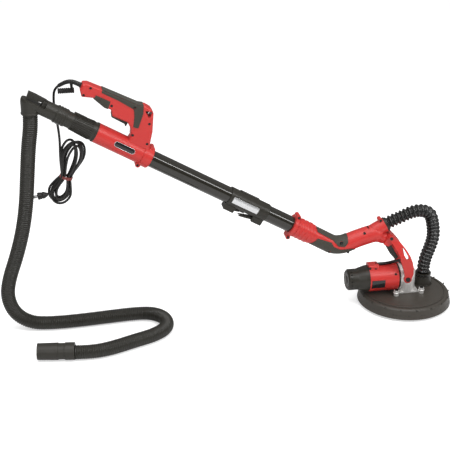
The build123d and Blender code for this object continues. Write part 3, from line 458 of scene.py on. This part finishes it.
def block_row_tree():
    """A row of equal blocks, a fixed step apart."""
    g, i = geometry_tree("Blocks in a row", [("Count", "Int", 6), ("Step", "Vector", (0.0, 0.0, 0.005)),
                                             ("Size", "Vector", (0.002, 0.002, 0.002))])
    line = add(g, "GeometryNodeMeshLine", {"Count": i["Count"], "Offset": i["Step"]}, mode="OFFSET").outputs[0]
    block = add(g, "GeometryNodeMeshCube", {"Size": i["Size"]}).outputs[0]
    spread = add(g, "GeometryNodeInstanceOnPoints", {"Points": line, "Instance": block})
    return close_tree(g, spread.outputs[0], i["Material"], False)


def screw_tree():
    """Recessed cross-head screws, one on each point of the carrier."""
    g, i = geometry_tree("Cross-head screws", [("Head radius", "Float", 0.0028), ("Head height", "Float", 0.002),
                                               ("Slot width", "Float", 0.0008), ("Turn", "Vector", (0, 0, 0))])
    head = add(g, "GeometryNodeMeshCylinder", {"Vertices": 20, "Radius": i["Head radius"],
                                               "Depth": i["Head height"]}).outputs[0]
    reach = calc(g, "MULTIPLY", i["Head radius"], 1.25)
    raised = calc(g, "MULTIPLY", i["Head height"], 0.5)
    cutters = []
    for x, y in ((reach, i["Slot width"]), (i["Slot width"], reach)):
        size = add(g, "ShaderNodeCombineXYZ", {0: x, 1: y, 2: i["Head height"]}).outputs[0]
        cube = add(g, "GeometryNodeMeshCube", {"Size": size}).outputs[0]
        up = add(g, "ShaderNodeCombineXYZ", {2: raised}).outputs[0]
        cutters.append(add(g, "GeometryNodeTransform", {"Geometry": cube, "Translation": up}).outputs[0])
    cut = add(g, "GeometryNodeMeshBoolean", {"Mesh 1": head}, operation="DIFFERENCE")
    for cutter in cutters:
        g.links.new(cutter, cut.inputs["Mesh 2"])
    turned = add(g, "GeometryNodeInstanceOnPoints", {"Points": i["Geometry"], "Instance": cut.outputs[0],
                                                     "Rotation": i["Turn"]})
    return close_tree(g, turned.outputs[0], i["Material"], False)


def bristle_tree():
    """Rows of tapered bristles round a circle, each leaning by a small fixed-seed amount."""
    g, i = geometry_tree("Bristle skirt", [("Count", "Int", 600), ("Radius", "Float", 0.12),
                                           ("Height", "Float", 0.01), ("Thickness", "Float", 0.0006),
                                           ("Lean", "Float", 0.12), ("Seed", "Int", 4)])
    circle = add(g, "GeometryNodeMeshCircle", {"Vertices": i["Count"], "Radius": i["Radius"]}).outputs[0]
    thin = calc(g, "MULTIPLY", i["Thickness"], 0.6)
    tuft = add(g, "GeometryNodeMeshCone", {"Vertices": 5, "Radius Top": i["Thickness"], "Radius Bottom": thin,
                                           "Depth": i["Height"]}).outputs[0]
    low = calc(g, "MULTIPLY", i["Lean"], -1.0)
    lows = add(g, "ShaderNodeCombineXYZ", {0: low, 1: low}).outputs[0]
    highs = add(g, "ShaderNodeCombineXYZ", {0: i["Lean"], 1: i["Lean"], 2: 3.0}).outputs[0]
    tilt = add(g, "FunctionNodeRandomValue", {0: lows, 1: highs, "Seed": i["Seed"]}, data_type="FLOAT_VECTOR")
    spread = add(g, "GeometryNodeInstanceOnPoints", {"Points": circle, "Instance": tuft,
                                                     "Rotation": tilt.outputs[0]})
    return close_tree(g, spread.outputs[0], i["Material"], False)


RIBBED_TUBE, BLOCK_RING, BLOCK_ROW = ribbed_tube_tree(), block_ring_tree(), block_row_tree()
SCREWS, BRISTLES = screw_tree(), bristle_tree()


def grown(name, group, values, slot, points=(), edges=(), matrix=None):
    """Run a geometry tree on a carrier of points and return its result as a plain mesh."""
    carrier = bpy.data.meshes.new(name)
    carrier.from_pydata([tuple(p) for p in points], edges, [])
    source = bpy.data.objects.new(name + "_source", carrier)
    scene.collection.objects.link(source)
    modifier = source.modifiers.new("Grow", "NODES")
    modifier.node_group = group
    values = {**values, "Material": FINISHES[slot]}
    for item in group.interface.items_tree:
        if item.item_type == "SOCKET" and item.in_out == "INPUT" and item.name in values:
            modifier[item.identifier] = values[item.name]
    depsgraph = bpy.context.evaluated_depsgraph_get()
    depsgraph.update()
    mesh = bpy.data.meshes.new_from_object(source.evaluated_get(depsgraph))
    bpy.data.objects.remove(source)
    if matrix is not None:
        mesh.transform(matrix)
    return mesh


def tube_mesh(name, line, slot, start, end, depth, pitch, sharpness=1.0, sides=36):
    """A ribbed tube along followed points, with sizes in metres."""
    edges = [(k, k + 1) for k in range(len(line) - 1)]
    return grown(name, RIBBED_TUBE, {"Start radius": start, "End radius": end, "Rib depth": depth,
                                     "Rib pitch": pitch, "Sharpness": sharpness, "Sides": sides},
                 slot, line, edges)


def joined(name, meshes):
    """Several meshes as one."""
    shape = bmesh.new()
    materials = []
    for mesh in meshes:
        first = len(shape.faces)
        shape.from_mesh(mesh)
        shape.faces.ensure_lookup_table()
        slots = []
        for m in mesh.materials:
            if m not in materials:
                materials.append(m)
            slots.append(materials.index(m))
        for face in shape.faces[first:]:
            if slots:
                face.material_index = slots[min(face.material_index, len(slots) - 1)]
    result = bpy.data.meshes.new(name)
    shape.to_mesh(result)
    shape.free()
    for m in materials:
        result.materials.append(m)
    return result


# ---- camera -------------------------------------------------------------------------------
camera_data = bpy.data.cameras.new("camera")
camera_data.lens = 88
camera_data.sensor_width = 36
camera = bpy.data.objects.new("camera", camera_data)
camera.location = (-0.935, -2.514, 1.426)
camera.rotation_euler = (radians(65.5), 0, radians(-10))
scene.collection.objects.link(camera)
scene.camera = camera

# ---- vacuum hose --------------------------------------------------------------------------
SPOUT_X = -958.86
HOSE_ROUTE = [(SPOUT_X, 0, 598), (SPOUT_X, 0, 562), (-969, 1.5, 505), (-977, 4, 430), (-985, 7, 355),
              (-998, 10, 285), (-1018, 14, 215), (-1042, 18, 150), (-1052, 20, 98), (-1037, 20, 47),
              (-996, 16, 18), (-940, 6, 18), (-865, 8, 18), (-795, 14, 18), (-730, 19, 18), (-683, 14, 18),
              (-652, -18, 18), (-652, -66, 18), (-688, -100, 18), (-745, -122, 18), (-800, -146, 18),
              (-850, -157, 18), (-893, -151, 18)]
HOSE_RIB, HOSE_PITCH = 1.8 * MM, 5.2 * MM
hose_line = followed([point(*p) for p in HOSE_ROUTE])
hose = piece_from("hose_ribbed", tube_mesh("hose_ribbed", hose_line, "hose_black", HOSE_R - HOSE_RIB,
                                           HOSE_R - HOSE_RIB, HOSE_RIB, HOSE_PITCH, 0.6, 32), "frame", "hose_black")
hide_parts("vacuum_hose")

cuff_dir = (point(*HOSE_ROUTE[-1]) - point(*HOSE_ROUTE[-2])).normalized()
cuff_start = Vector((*point(*HOSE_ROUTE[-1]).xy, CUFF_R))

# ---- ducts of the head --------------------------------------------------------------------
DUCT_MIDDLE = (71.5, 10, 211)
PORT_TOP = (60, 25, 68)
duct_from = [tuple(c / MM for c in PORT - PORT_DIR * 12 * MM), tuple(c / MM for c in PORT + PORT_DIR * 19 * MM)]
DUCT_A = duct_from + [(-22, 0.4, 249), (0, 1, 259), (26, 3, 263), (50, 5, 257), (65, 7, 241), DUCT_MIDDLE]
DUCT_B = [DUCT_MIDDLE, (77.35, 12.7, 184), (72, 17, 150), (64, 22, 118), (60, 25, 92), PORT_TOP]
DUCT_RIB, DUCT_PITCH = 4.6 * MM, 11.0 * MM
for name, node, route, pair in (("bellows_upper", "duct_upper", DUCT_A, ("frame", "fork")),
                                ("bellows_lower", "duct_lower", DUCT_B, ("fork", "head"))):
    line = followed([point(*p) for p in route])
    count = round(length_of(line) / DUCT_PITCH)
    mesh = tube_mesh(name, line, "duct_black", DUCT_R - DUCT_RIB, DUCT_R - DUCT_RIB, DUCT_RIB + 0.8 * MM,
                     length_of(line) / count, 0.62, 48)
    duct = piece_from(name, mesh, None, "duct_black")
    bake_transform(duct)
    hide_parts(node)

# ---- power cord ---------------------------------------------------------------------------
BOOT_ROUTE = [at(633, 89), at(655, 89), point(-856, 7, 660), point(-873, 15, 657), point(-888, 26, 645)]
CORD_DROP = [(-888, 26, 645), (-898.6, 34, 636), (-902, 37, 608), (-900, 37.5, 578), (-896, 38, 545),
             (-893, 39, 505), (-895, 40.5, 460), (-894, 40.5, 425)]
TIE = Vector((-884, 410))
UPPER_TIP, LOWER_TIP = Vector((-855, 503)), Vector((-911, 346))
STRAND = 6.3
# Each state of the winding is a depth in Y and a ring, 0 outer or 1 inner.
WINDING = [(40.5, 0), (40.5, 1), (34.2, 1), (34.2, 0), (27.9, 0), (27.9, 1), (21.6, 1), (21.6, 0)]
UPPER_HALVES = (30, 17, 13.5, 25, 28, 19, 14, 22)
LOWER_HALVES = (27, 15, 13, 22, 26, 17, 13, 20)


def lobe(tip, ring, swing, half):
    """Offsets of one side of a lobe: places along it and half widths, for a ring of the winding."""
    reach = (tip - TIE).length * (1.05 - 0.15 * ring) * swing
    tie_half = STRAND * (1.5 - ring)
    return [(0.0, tie_half), (0.3 * reach, half * 0.72), (0.62 * reach, half), (0.9 * reach, half * 0.62),
            (reach, 0.0)]


def on_lobe(tip, along, across, turn):
    forward = (tip - TIE).normalized()
    forward = Vector((forward.x * cos(turn) - forward.y * sin(turn), forward.x * sin(turn) + forward.y * cos(turn)))
    side = Vector((forward.y, -forward.x))
    return TIE + forward * along + side * across


def mixed(a, b, share):
    return a + (b - a) * share


def winding_points():
    """Down the left of the lower lobe, up its right, then round the upper lobe, once a turn."""
    points = []
    for k, (y, ring) in enumerate(WINDING):
        next_y, next_ring = WINDING[k + 1] if k + 1 < len(WINDING) else (y, ring)
        fan = radians((-3, 2, 4, -2, 3, -4, 1, 2)[k])
        size = (1.0, 0.97, 1.03, 0.95, 1.0, 1.02, 0.96, 0.98)[k]
        low = lobe(LOWER_TIP, ring, size, LOWER_HALVES[k])
        for along, across in low:
            points.append((on_lobe(LOWER_TIP, along, across, fan), y))
        if k + 1 == len(WINDING):
            return points[:-3]
        for along, across in reversed(low[1:-1]):
            points.append((on_lobe(LOWER_TIP, along, -across, fan), y))
        up = lobe(UPPER_TIP, ring, size, UPPER_HALVES[k])
        up_next = lobe(UPPER_TIP, next_ring, size, UPPER_HALVES[k + 1])
        for along, across in up[:-1]:
            points.append((on_lobe(UPPER_TIP, along, across, fan), y))
        points.append((on_lobe(UPPER_TIP, mixed(up[-1][0], up_next[-1][0], 0.5), 0, fan), mixed(y, next_y, 0.5)))
        for along, across in reversed(up_next[1:-1]):
            points.append((on_lobe(UPPER_TIP, along, -across, fan), next_y))
    return points


PLUG_AT = (-937.5, 31, 366)
TAIL = [(-914, 23, 384), (-924, 27, 375), (-931, 30.4, 367)]
cord_points = [point(*p) for p in CORD_DROP]
cord_points += [point(xz.x, y, xz.y) for xz, y in winding_points()]
cord_points += [point(*p) for p in TAIL] + [point(*PLUG_AT)]
cord_line = followed(cord_points)
cord = bpy.data.objects.new("power_lead", spline_of("power_lead", cord_points, CORD_R))
cord.data.materials.append(FINISHES["cable_black"])
scene.collection.objects.link(cord)
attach(cord, "frame")
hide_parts("power_cord", "cord_hank")

boot_line = followed(BOOT_ROUTE)
boot = piece_from("strain_relief", tube_mesh("strain_relief", boot_line, "cable_black", 6.0 * MM, 3.9 * MM,
                                             0.7 * MM, 4.2 * MM, 0.8, 28), "frame", "cable_black")
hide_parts("cord_boot")
CLIP_START, CLIP_END = point(-852, 20, 634), point(-891, 20, 634)
clip_parts = [tube_mesh("clip_rod", [CLIP_START, CLIP_END], "cable_black", 5.6 * MM, 5.6 * MM, 1.4 * MM, 4.9 * MM,
                        0.6, 28),
              tube_mesh("clip_link", [point(-857, 20, 636), point(-858.4, 12.6, 651)], "cable_black", 3.4 * MM,
                        3.4 * MM, 0.0, 5 * MM, 1.0, 16)]
lead_clip = piece_from("lead_clip", joined("lead_clip", clip_parts), "frame", "cable_black")

# The wire that ties the hank: a few close turns about its crossing.
TIE_TURNS, TIE_STEPS, TIE_PITCH = 3, 28, 2.4
hank_axis = (UPPER_TIP - LOWER_TIP).normalized()
hank_side = Vector((hank_axis.y, -hank_axis.x))
tie_line = []
for k in range(TIE_TURNS * TIE_STEPS + 1):
    turn = 2 * pi * k / TIE_STEPS
    along = TIE_PITCH * (k / TIE_STEPS - TIE_TURNS / 2)
    xz = TIE + hank_axis * along + hank_side * 15.5 * cos(turn)
    tie_line.append(point(xz.x, 31 + 14.5 * sin(turn), xz.y))
tie = piece_from("tie_wire", tube_mesh("tie_wire", tie_line, "tie_red", 1.1 * MM, 1.1 * MM, 0.0, 9 * MM, 1.0, 10),
                 "frame", "tie_red")
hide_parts("cord_tie")

plug_profile = [(3.6, -6), (4.2, -6), (6.5, -1), (8.6, 3), (8.6, 6), (7.9, 7), (7.9, 9), (8.6, 10), (8.6, 13),
                (9.2, 15), (9.2, 18), (8.4, 19), (0.01, 19), (0.01, -5)]
plug_dir = Vector((-1, 0, -0.15)).normalized()
plug_parts = [lathe("plug_shell", plug_profile, point(*PLUG_AT), plug_dir, 40)]
plug_parts[0].materials.append(FINISHES["cable_black"])
for offset in (-5, 5):
    start = point(-955.5, 31 + offset, 363.3)
    pin = lathe("plug_pin", [(2.1, 0), (2.1, 11.5), (1.5, 13), (0.01, 13), (0.01, 0)], start, plug_dir, 20)
    pin.materials.append(BRIGHT_PIN)
    plug_parts.append(pin)
plug = piece_from("plug_moulded", joined("plug_moulded", plug_parts), "frame", "cable_black")
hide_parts("plug")

# ---- head ---------------------------------------------------------------------------------
BRUSH_LOW, BRUSH_HIGH = 0.6 * MM, 12 * MM
rows = []
for row, (inset, seed) in enumerate(((3.6, 3), (4.6, 8), (5.6, 15))):
    rows.append(grown("brush_row", BRISTLES, {"Count": 520, "Radius": SHROUD_R - inset * MM,
                                              "Height": BRUSH_HIGH - BRUSH_LOW, "Thickness": 0.75 * MM,
                                              "Lean": 0.09, "Seed": seed}, "bristle",
                      matrix=Matrix.Translation((0, 0, (BRUSH_LOW + BRUSH_HIGH) / 2 + 0.3 * MM))))
brush = piece_from("brush_bristles", joined("brush_bristles", rows), "head", "bristle")
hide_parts("brush_ring")

# Small tabs round the shroud rim, coloured darker than the shroud: partly real protruding tabs, partly painted
# shade standing in for the dark rim notches.
RIM_TABS_AND_NOTCH_SHADES = 18
tabs_and_notch_shades = grown("rim_tabs_and_notch_shades", BLOCK_RING, {"Count": RIM_TABS_AND_NOTCH_SHADES, "Radius": SHROUD_TOP_R + 0.5 * MM,
                                      "Size": (2.0 * MM, 2.4 * MM, 4.4 * MM)}, "black_plastic",
             matrix=Matrix.Translation((0, 0, 31.4 * MM)) @ Matrix.Rotation(radians(8), 4, "Z"))
piece_from("rim_tabs_and_notch_shades", tabs_and_notch_shades, "head", "black_plastic")
ridge_profile = [(106, 34.6), (106.4, 35.9), (108.4, 35.9), (108.9, 34.4)]
piece_from("shroud_ridge", lathe("shroud_ridge", ridge_profile, Vector((0, 0, 0)), (0, 0, 1), 120), "head",
           "shroud_plastic")

CAP_END = -163 * MM
# Vent slots drawn as thin near-black blocks on the cap's end face: painted shade standing in for the dark openings
# of the slots.
vent_shades = grown("cap_vent_shades", BLOCK_RING, {"Count": 18, "Radius": 22 * MM, "Size": (4.5 * MM, 1.7 * MM, 1.0 * MM)},
              "badge_dark", matrix=placed(Vector((CAP_END - 0.1 * MM, 0, MOTOR_Z)), (1, 0, 0)))
piece_from("cap_vent_shades", vent_shades, "head", "badge_dark")
hub_cap = lathe("cap_centre", [(0.01, -1.6), (9.5, -1.6), (11, -0.6), (11, 1), (0.01, 1)],
                Vector((CAP_END, 0, MOTOR_Z)), (1, 0, 0), 40)
piece_from("cap_centre", hub_cap, "head", "black_plastic")
seam_profile = [(36.0, 0), (36.5, 0.4), (36.5, 1.8), (36.0, 2.2), (35.6, 2.2), (35.6, 0)]
piece_from("motor_band", lathe("motor_band", seam_profile, Vector((-31 * MM, 0, MOTOR_Z)), (1, 0, 0), 72), "head",
           "red_plastic")

POSTS = [(-33, -34), (-33, 34), (38, -30), (24, 36)]
post_screws = grown("post_screws", SCREWS, {"Head radius": 4.4 * MM, "Head height": 2.6 * MM,
                                            "Slot width": 1.1 * MM}, "steel",
                    [point(x, y, 51.0) for x, y in POSTS])
post_screws = piece_from("post_screws", outward(post_screws), "head", "steel")
for x, y in POSTS:
    collar = [(7, -9), (8.2, -8), (8.2, -5.5), (7, -4.5), (6.9, -4.5), (6.9, -9)]
    piece_from("post_collar_%d_%d" % (x, abs(y) + (y > 0)), lathe("collar", collar, point(x, y, 50), (0, 0, 1), 32),
               "head", "cast_aluminium")
FACE_NEAR = (pi / 2, 0, 0)
CASING_SCREWS = [(-104, -15.6, 112), (-88, -15.6, 108), (-36.5, -30.5, 96)]
casing_screws = grown("casing_screws", SCREWS, {"Head radius": 3.5 * MM, "Head height": 1.6 * MM,
                                                "Slot width": 0.8 * MM, "Turn": FACE_NEAR}, "steel",
                      [point(*p) for p in CASING_SCREWS])
piece_from("casing_screws", outward(casing_screws), "head", "steel")

band = [(20.6, 0), (21.9, 0.5), (21.9, 5.5), (20.6, 6), (17.6, 6), (17.6, 0)]
piece_from("port_clamp", lathe("port_clamp", band, point(60, 25, 61.5), (0, 0, 1), 48), "head", "duct_black")
neck_band = [(19.0, 0), (19.9, 0.5), (19.9, 4.5), (19.0, 5), (17.2, 5), (17.2, 0)]
piece_from("duct_ring", lathe("duct_ring", neck_band, PORT - PORT_DIR * 2 * MM, PORT_DIR, 48), "frame",
           "black_plastic")

# ---- fork ---------------------------------------------------------------------------------
cover_step = Vector((-4.6, 0, 6.6)) * MM
ribs = grown("cover_ribs", BLOCK_ROW, {"Count": 7, "Step": tuple(cover_step),
                                       "Size": (11 * MM, 1.4 * MM, 2.2 * MM)}, "cast_aluminium",
             matrix=Matrix.Translation(point(-17, 31.0, 146)))
piece_from("cover_ribs", ribs, "fork", "cast_aluminium")


# ---- pole, handle and neck ----------------------------------------------------------------
HANDLE_SCREWS = [(629, 96, -11.2), (636, 73.5, -11.2), (565, 80, -14.2), (514, 101, -13.2), (463, 80.3, -13.2),
                 (444, 33, -13.2), (486, 37, -13.2), (438, -27, -9.2)]
screw_places = [at(s, t, y) for s, t, y in HANDLE_SCREWS]
handle_screws = grown("case_screws", SCREWS, {"Head radius": 2.8 * MM, "Head height": 1.6 * MM,
                                              "Slot width": 0.8 * MM, "Turn": FACE_NEAR}, "steel", screw_places)
handle_screws = piece_from("case_screws", outward(handle_screws), "frame", "steel")

SLEEVE_START, SLEEVE_END = 566, 636
ribs = grown("sleeve_ribs", BLOCK_RING, {"Count": 30, "Radius": 22.4 * MM, "Size": (1.6 * MM, 1.5 * MM, 52 * MM),
                                         "Lean": radians(-3.4)}, "dark_plastic",
             matrix=placed(at((SLEEVE_START + SLEEVE_END) / 2 + 2), ALONG, UP))
piece_from("sleeve_ribs", ribs, "frame", "dark_plastic")
for k, s in enumerate((646, 653, 660, 667)):
    ring = [(21.4, 0), (22.6, 0.8), (22.6, 3.2), (21.4, 4)]
    piece_from("elbow_ring_%d" % k, lathe("elbow_ring", ring, at(s), ALONG, 56), "frame", "dark_plastic")
lip = [(24.2, 0), (25.2, 0.6), (25.2, 3.4), (24.2, 4), (23.4, 4), (23.4, 0)]
piece_from("sleeve_lip", lathe("sleeve_lip", lip, at(SLEEVE_START - 1), ALONG, 64), "frame", "dark_plastic")
spout = [(21.0, 0), (22.2, 0.8), (22.2, 4), (21.0, 5), (18.3, 5), (18.3, 0)]
piece_from("spout_lip", lathe("spout_lip", spout, point(SPOUT_X, 0, 588.5), (0, 0, 1), 48), "frame", "dark_plastic")

grips = grown("cuff_grips", BLOCK_RING, {"Count": 28, "Radius": CUFF_R - 0.9 * MM,
                                         "Size": (1.5 * MM, 1.6 * MM, 18 * MM)}, "cuff_grey",
              matrix=placed(cuff_start + cuff_dir * 12 * MM, cuff_dir))
piece_from("cuff_grips", grips, "frame", "cuff_grey")

bars = []
for side, word in ((-1, "near"), (1, "far")):
    ribs = grown("finger_ribs", BLOCK_ROW, {"Count": 6, "Step": (0, 0, 5.2 * MM),
                                            "Size": (7.5 * MM, 1.2 * MM, 2.4 * MM)}, "grip_rubber",
                 matrix=placed(at(577, 78.5, side * 18.3), ALONG, UP))
    piece_from("finger_ribs_" + word, ribs, "frame", "grip_rubber")
    for k in range(5):
        t = 42 + 6 * k
        edge = 430 + (t - 18) * 0.364
        mesh = grown("post_rib", BLOCK_ROW, {"Count": 1, "Size": (1.6 * MM, 1.0 * MM, 6 * MM)}, "red_plastic",
                     matrix=placed(at(edge + 7.5, t, side * 15.0), ALONG, UP))
        bars.append((word, mesh))
for word in ("near", "far"):
    piece_from("post_ribs_" + word, joined("post_ribs", [m for w, m in bars if w == word]), "frame", "red_plastic")

# ---- badge rims ---------------------------------------------------------------------------
BADGE_S, BADGE_T, TUBE_R = 490, 2.5, 25.2
BADGE_HALF, BADGE_END = 20.5, 6.6
rim = []
for k in range(40):
    share = 2 * pi * (k + 0.5) / 40
    s = BADGE_S + (BADGE_HALF if cos(share) > 0 else -BADGE_HALF) + BADGE_END * cos(share)
    t = BADGE_T + BADGE_END * sin(share)
    rim.append(at(s, t, -(TUBE_R ** 2 - t ** 2) ** 0.5 - 0.3))
edges = [(k, (k + 1) % 40) for k in range(40)]
rim_mesh = grown("badge_rim", RIBBED_TUBE, {"Start radius": 0.55 * MM, "End radius": 0.55 * MM, "Rib depth": 0.0,
                                            "Rib pitch": 12 * MM, "Sides": 10}, "plate_silver", rim, edges)
piece_from("badge_rim", rim_mesh, "frame", "plate_silver")

# ---- floor and light ----------------------------------------------------------------------
HORIZON_LEVEL, ZENITH_LEVEL = 0.12, 0.62
FLOOR_GLOW = 0.5
world = bpy.data.worlds.new("studio")
world.use_nodes = True
scene.world = world
sky = world.node_tree
background = sky.nodes["Background"]
background.inputs["Color"].default_value = (1, 1, 1, 1)
height = add(sky, "ShaderNodeSeparateXYZ", {0: add(sky, "ShaderNodeTexCoord").outputs["Generated"]}).outputs[2]
glow = add(sky, "ShaderNodeMapRange", {"Value": height, "From Min": 0.1, "From Max": 0.85, "To Min": HORIZON_LEVEL,
                                       "To Max": ZENITH_LEVEL}).outputs[0]
sky.links.new(glow, background.inputs["Strength"])
white = add(sky, "ShaderNodeBackground", {"Color": (1, 1, 1, 1), "Strength": 1.0})
direct = add(sky, "ShaderNodeLightPath").outputs["Is Camera Ray"]
both = add(sky, "ShaderNodeMixShader", {0: direct, 1: background.outputs[0], 2: white.outputs[0]})
sky.links.new(both.outputs[0], sky.nodes["World Output"].inputs["Surface"])

floor_mesh = bpy.data.meshes.new("floor")
FLOOR = 14.0
floor_mesh.from_pydata([(-FLOOR, -FLOOR, 0), (FLOOR, -FLOOR, 0), (FLOOR, FLOOR, 0), (-FLOOR, FLOOR, 0)], [],
                       [(0, 1, 2, 3)])
floor = bpy.data.objects.new("floor", floor_mesh)
floor.location.z = -0.0004
scene.collection.objects.link(floor)
paper = bpy.data.materials.new("floor_paper")
paper.use_nodes = True
base = paper.node_tree.nodes["Principled BSDF"]
base.inputs["Base Color"].default_value = (0.9, 0.9, 0.9, 1)
base.inputs["Roughness"].default_value = 0.9
base.inputs["Specular IOR Level"].default_value = 0.1
base.inputs["Emission Color"].default_value = (1, 1, 1, 1)
seen = add(paper.node_tree, "ShaderNodeLightPath").outputs["Is Camera Ray"]
paper.node_tree.links.new(calc(paper.node_tree, "MULTIPLY", seen, FLOOR_GLOW), base.inputs["Emission Strength"])
floor_mesh.materials.append(paper)


def soft_light(name, location, target, size, power, along=Vector((1, 0, 0))):
    """An area lamp that faces its target, with its long side as near a direction as it can be."""
    lamp = bpy.data.lights.new(name, "AREA")
    lamp.shape = "RECTANGLE"
    lamp.size, lamp.size_y = size
    lamp.energy = power
    holder = bpy.data.objects.new(name, lamp)
    holder.matrix_world = placed(Vector(location), Vector(location) - Vector(target), along)
    scene.collection.objects.link(holder)


CENTRE = (-0.45, 0, 0.25)
soft_light("overhead", (-0.5, -0.3, 3.0), CENTRE, (3.0, 1.6), 28)
soft_light("strip", (-0.7, -1.3, 2.5), CENTRE, (3.0, 0.2), 20)
soft_light("pole_strip", (1.24, -1.8, 1.94), at(400), (2.0, 0.3), 26, ALONG)
soft_light("front", (-1.9, -3.2, 1.7), CENTRE, (1.6, 1.2), 22)

scene.view_settings.view_transform = "Standard"
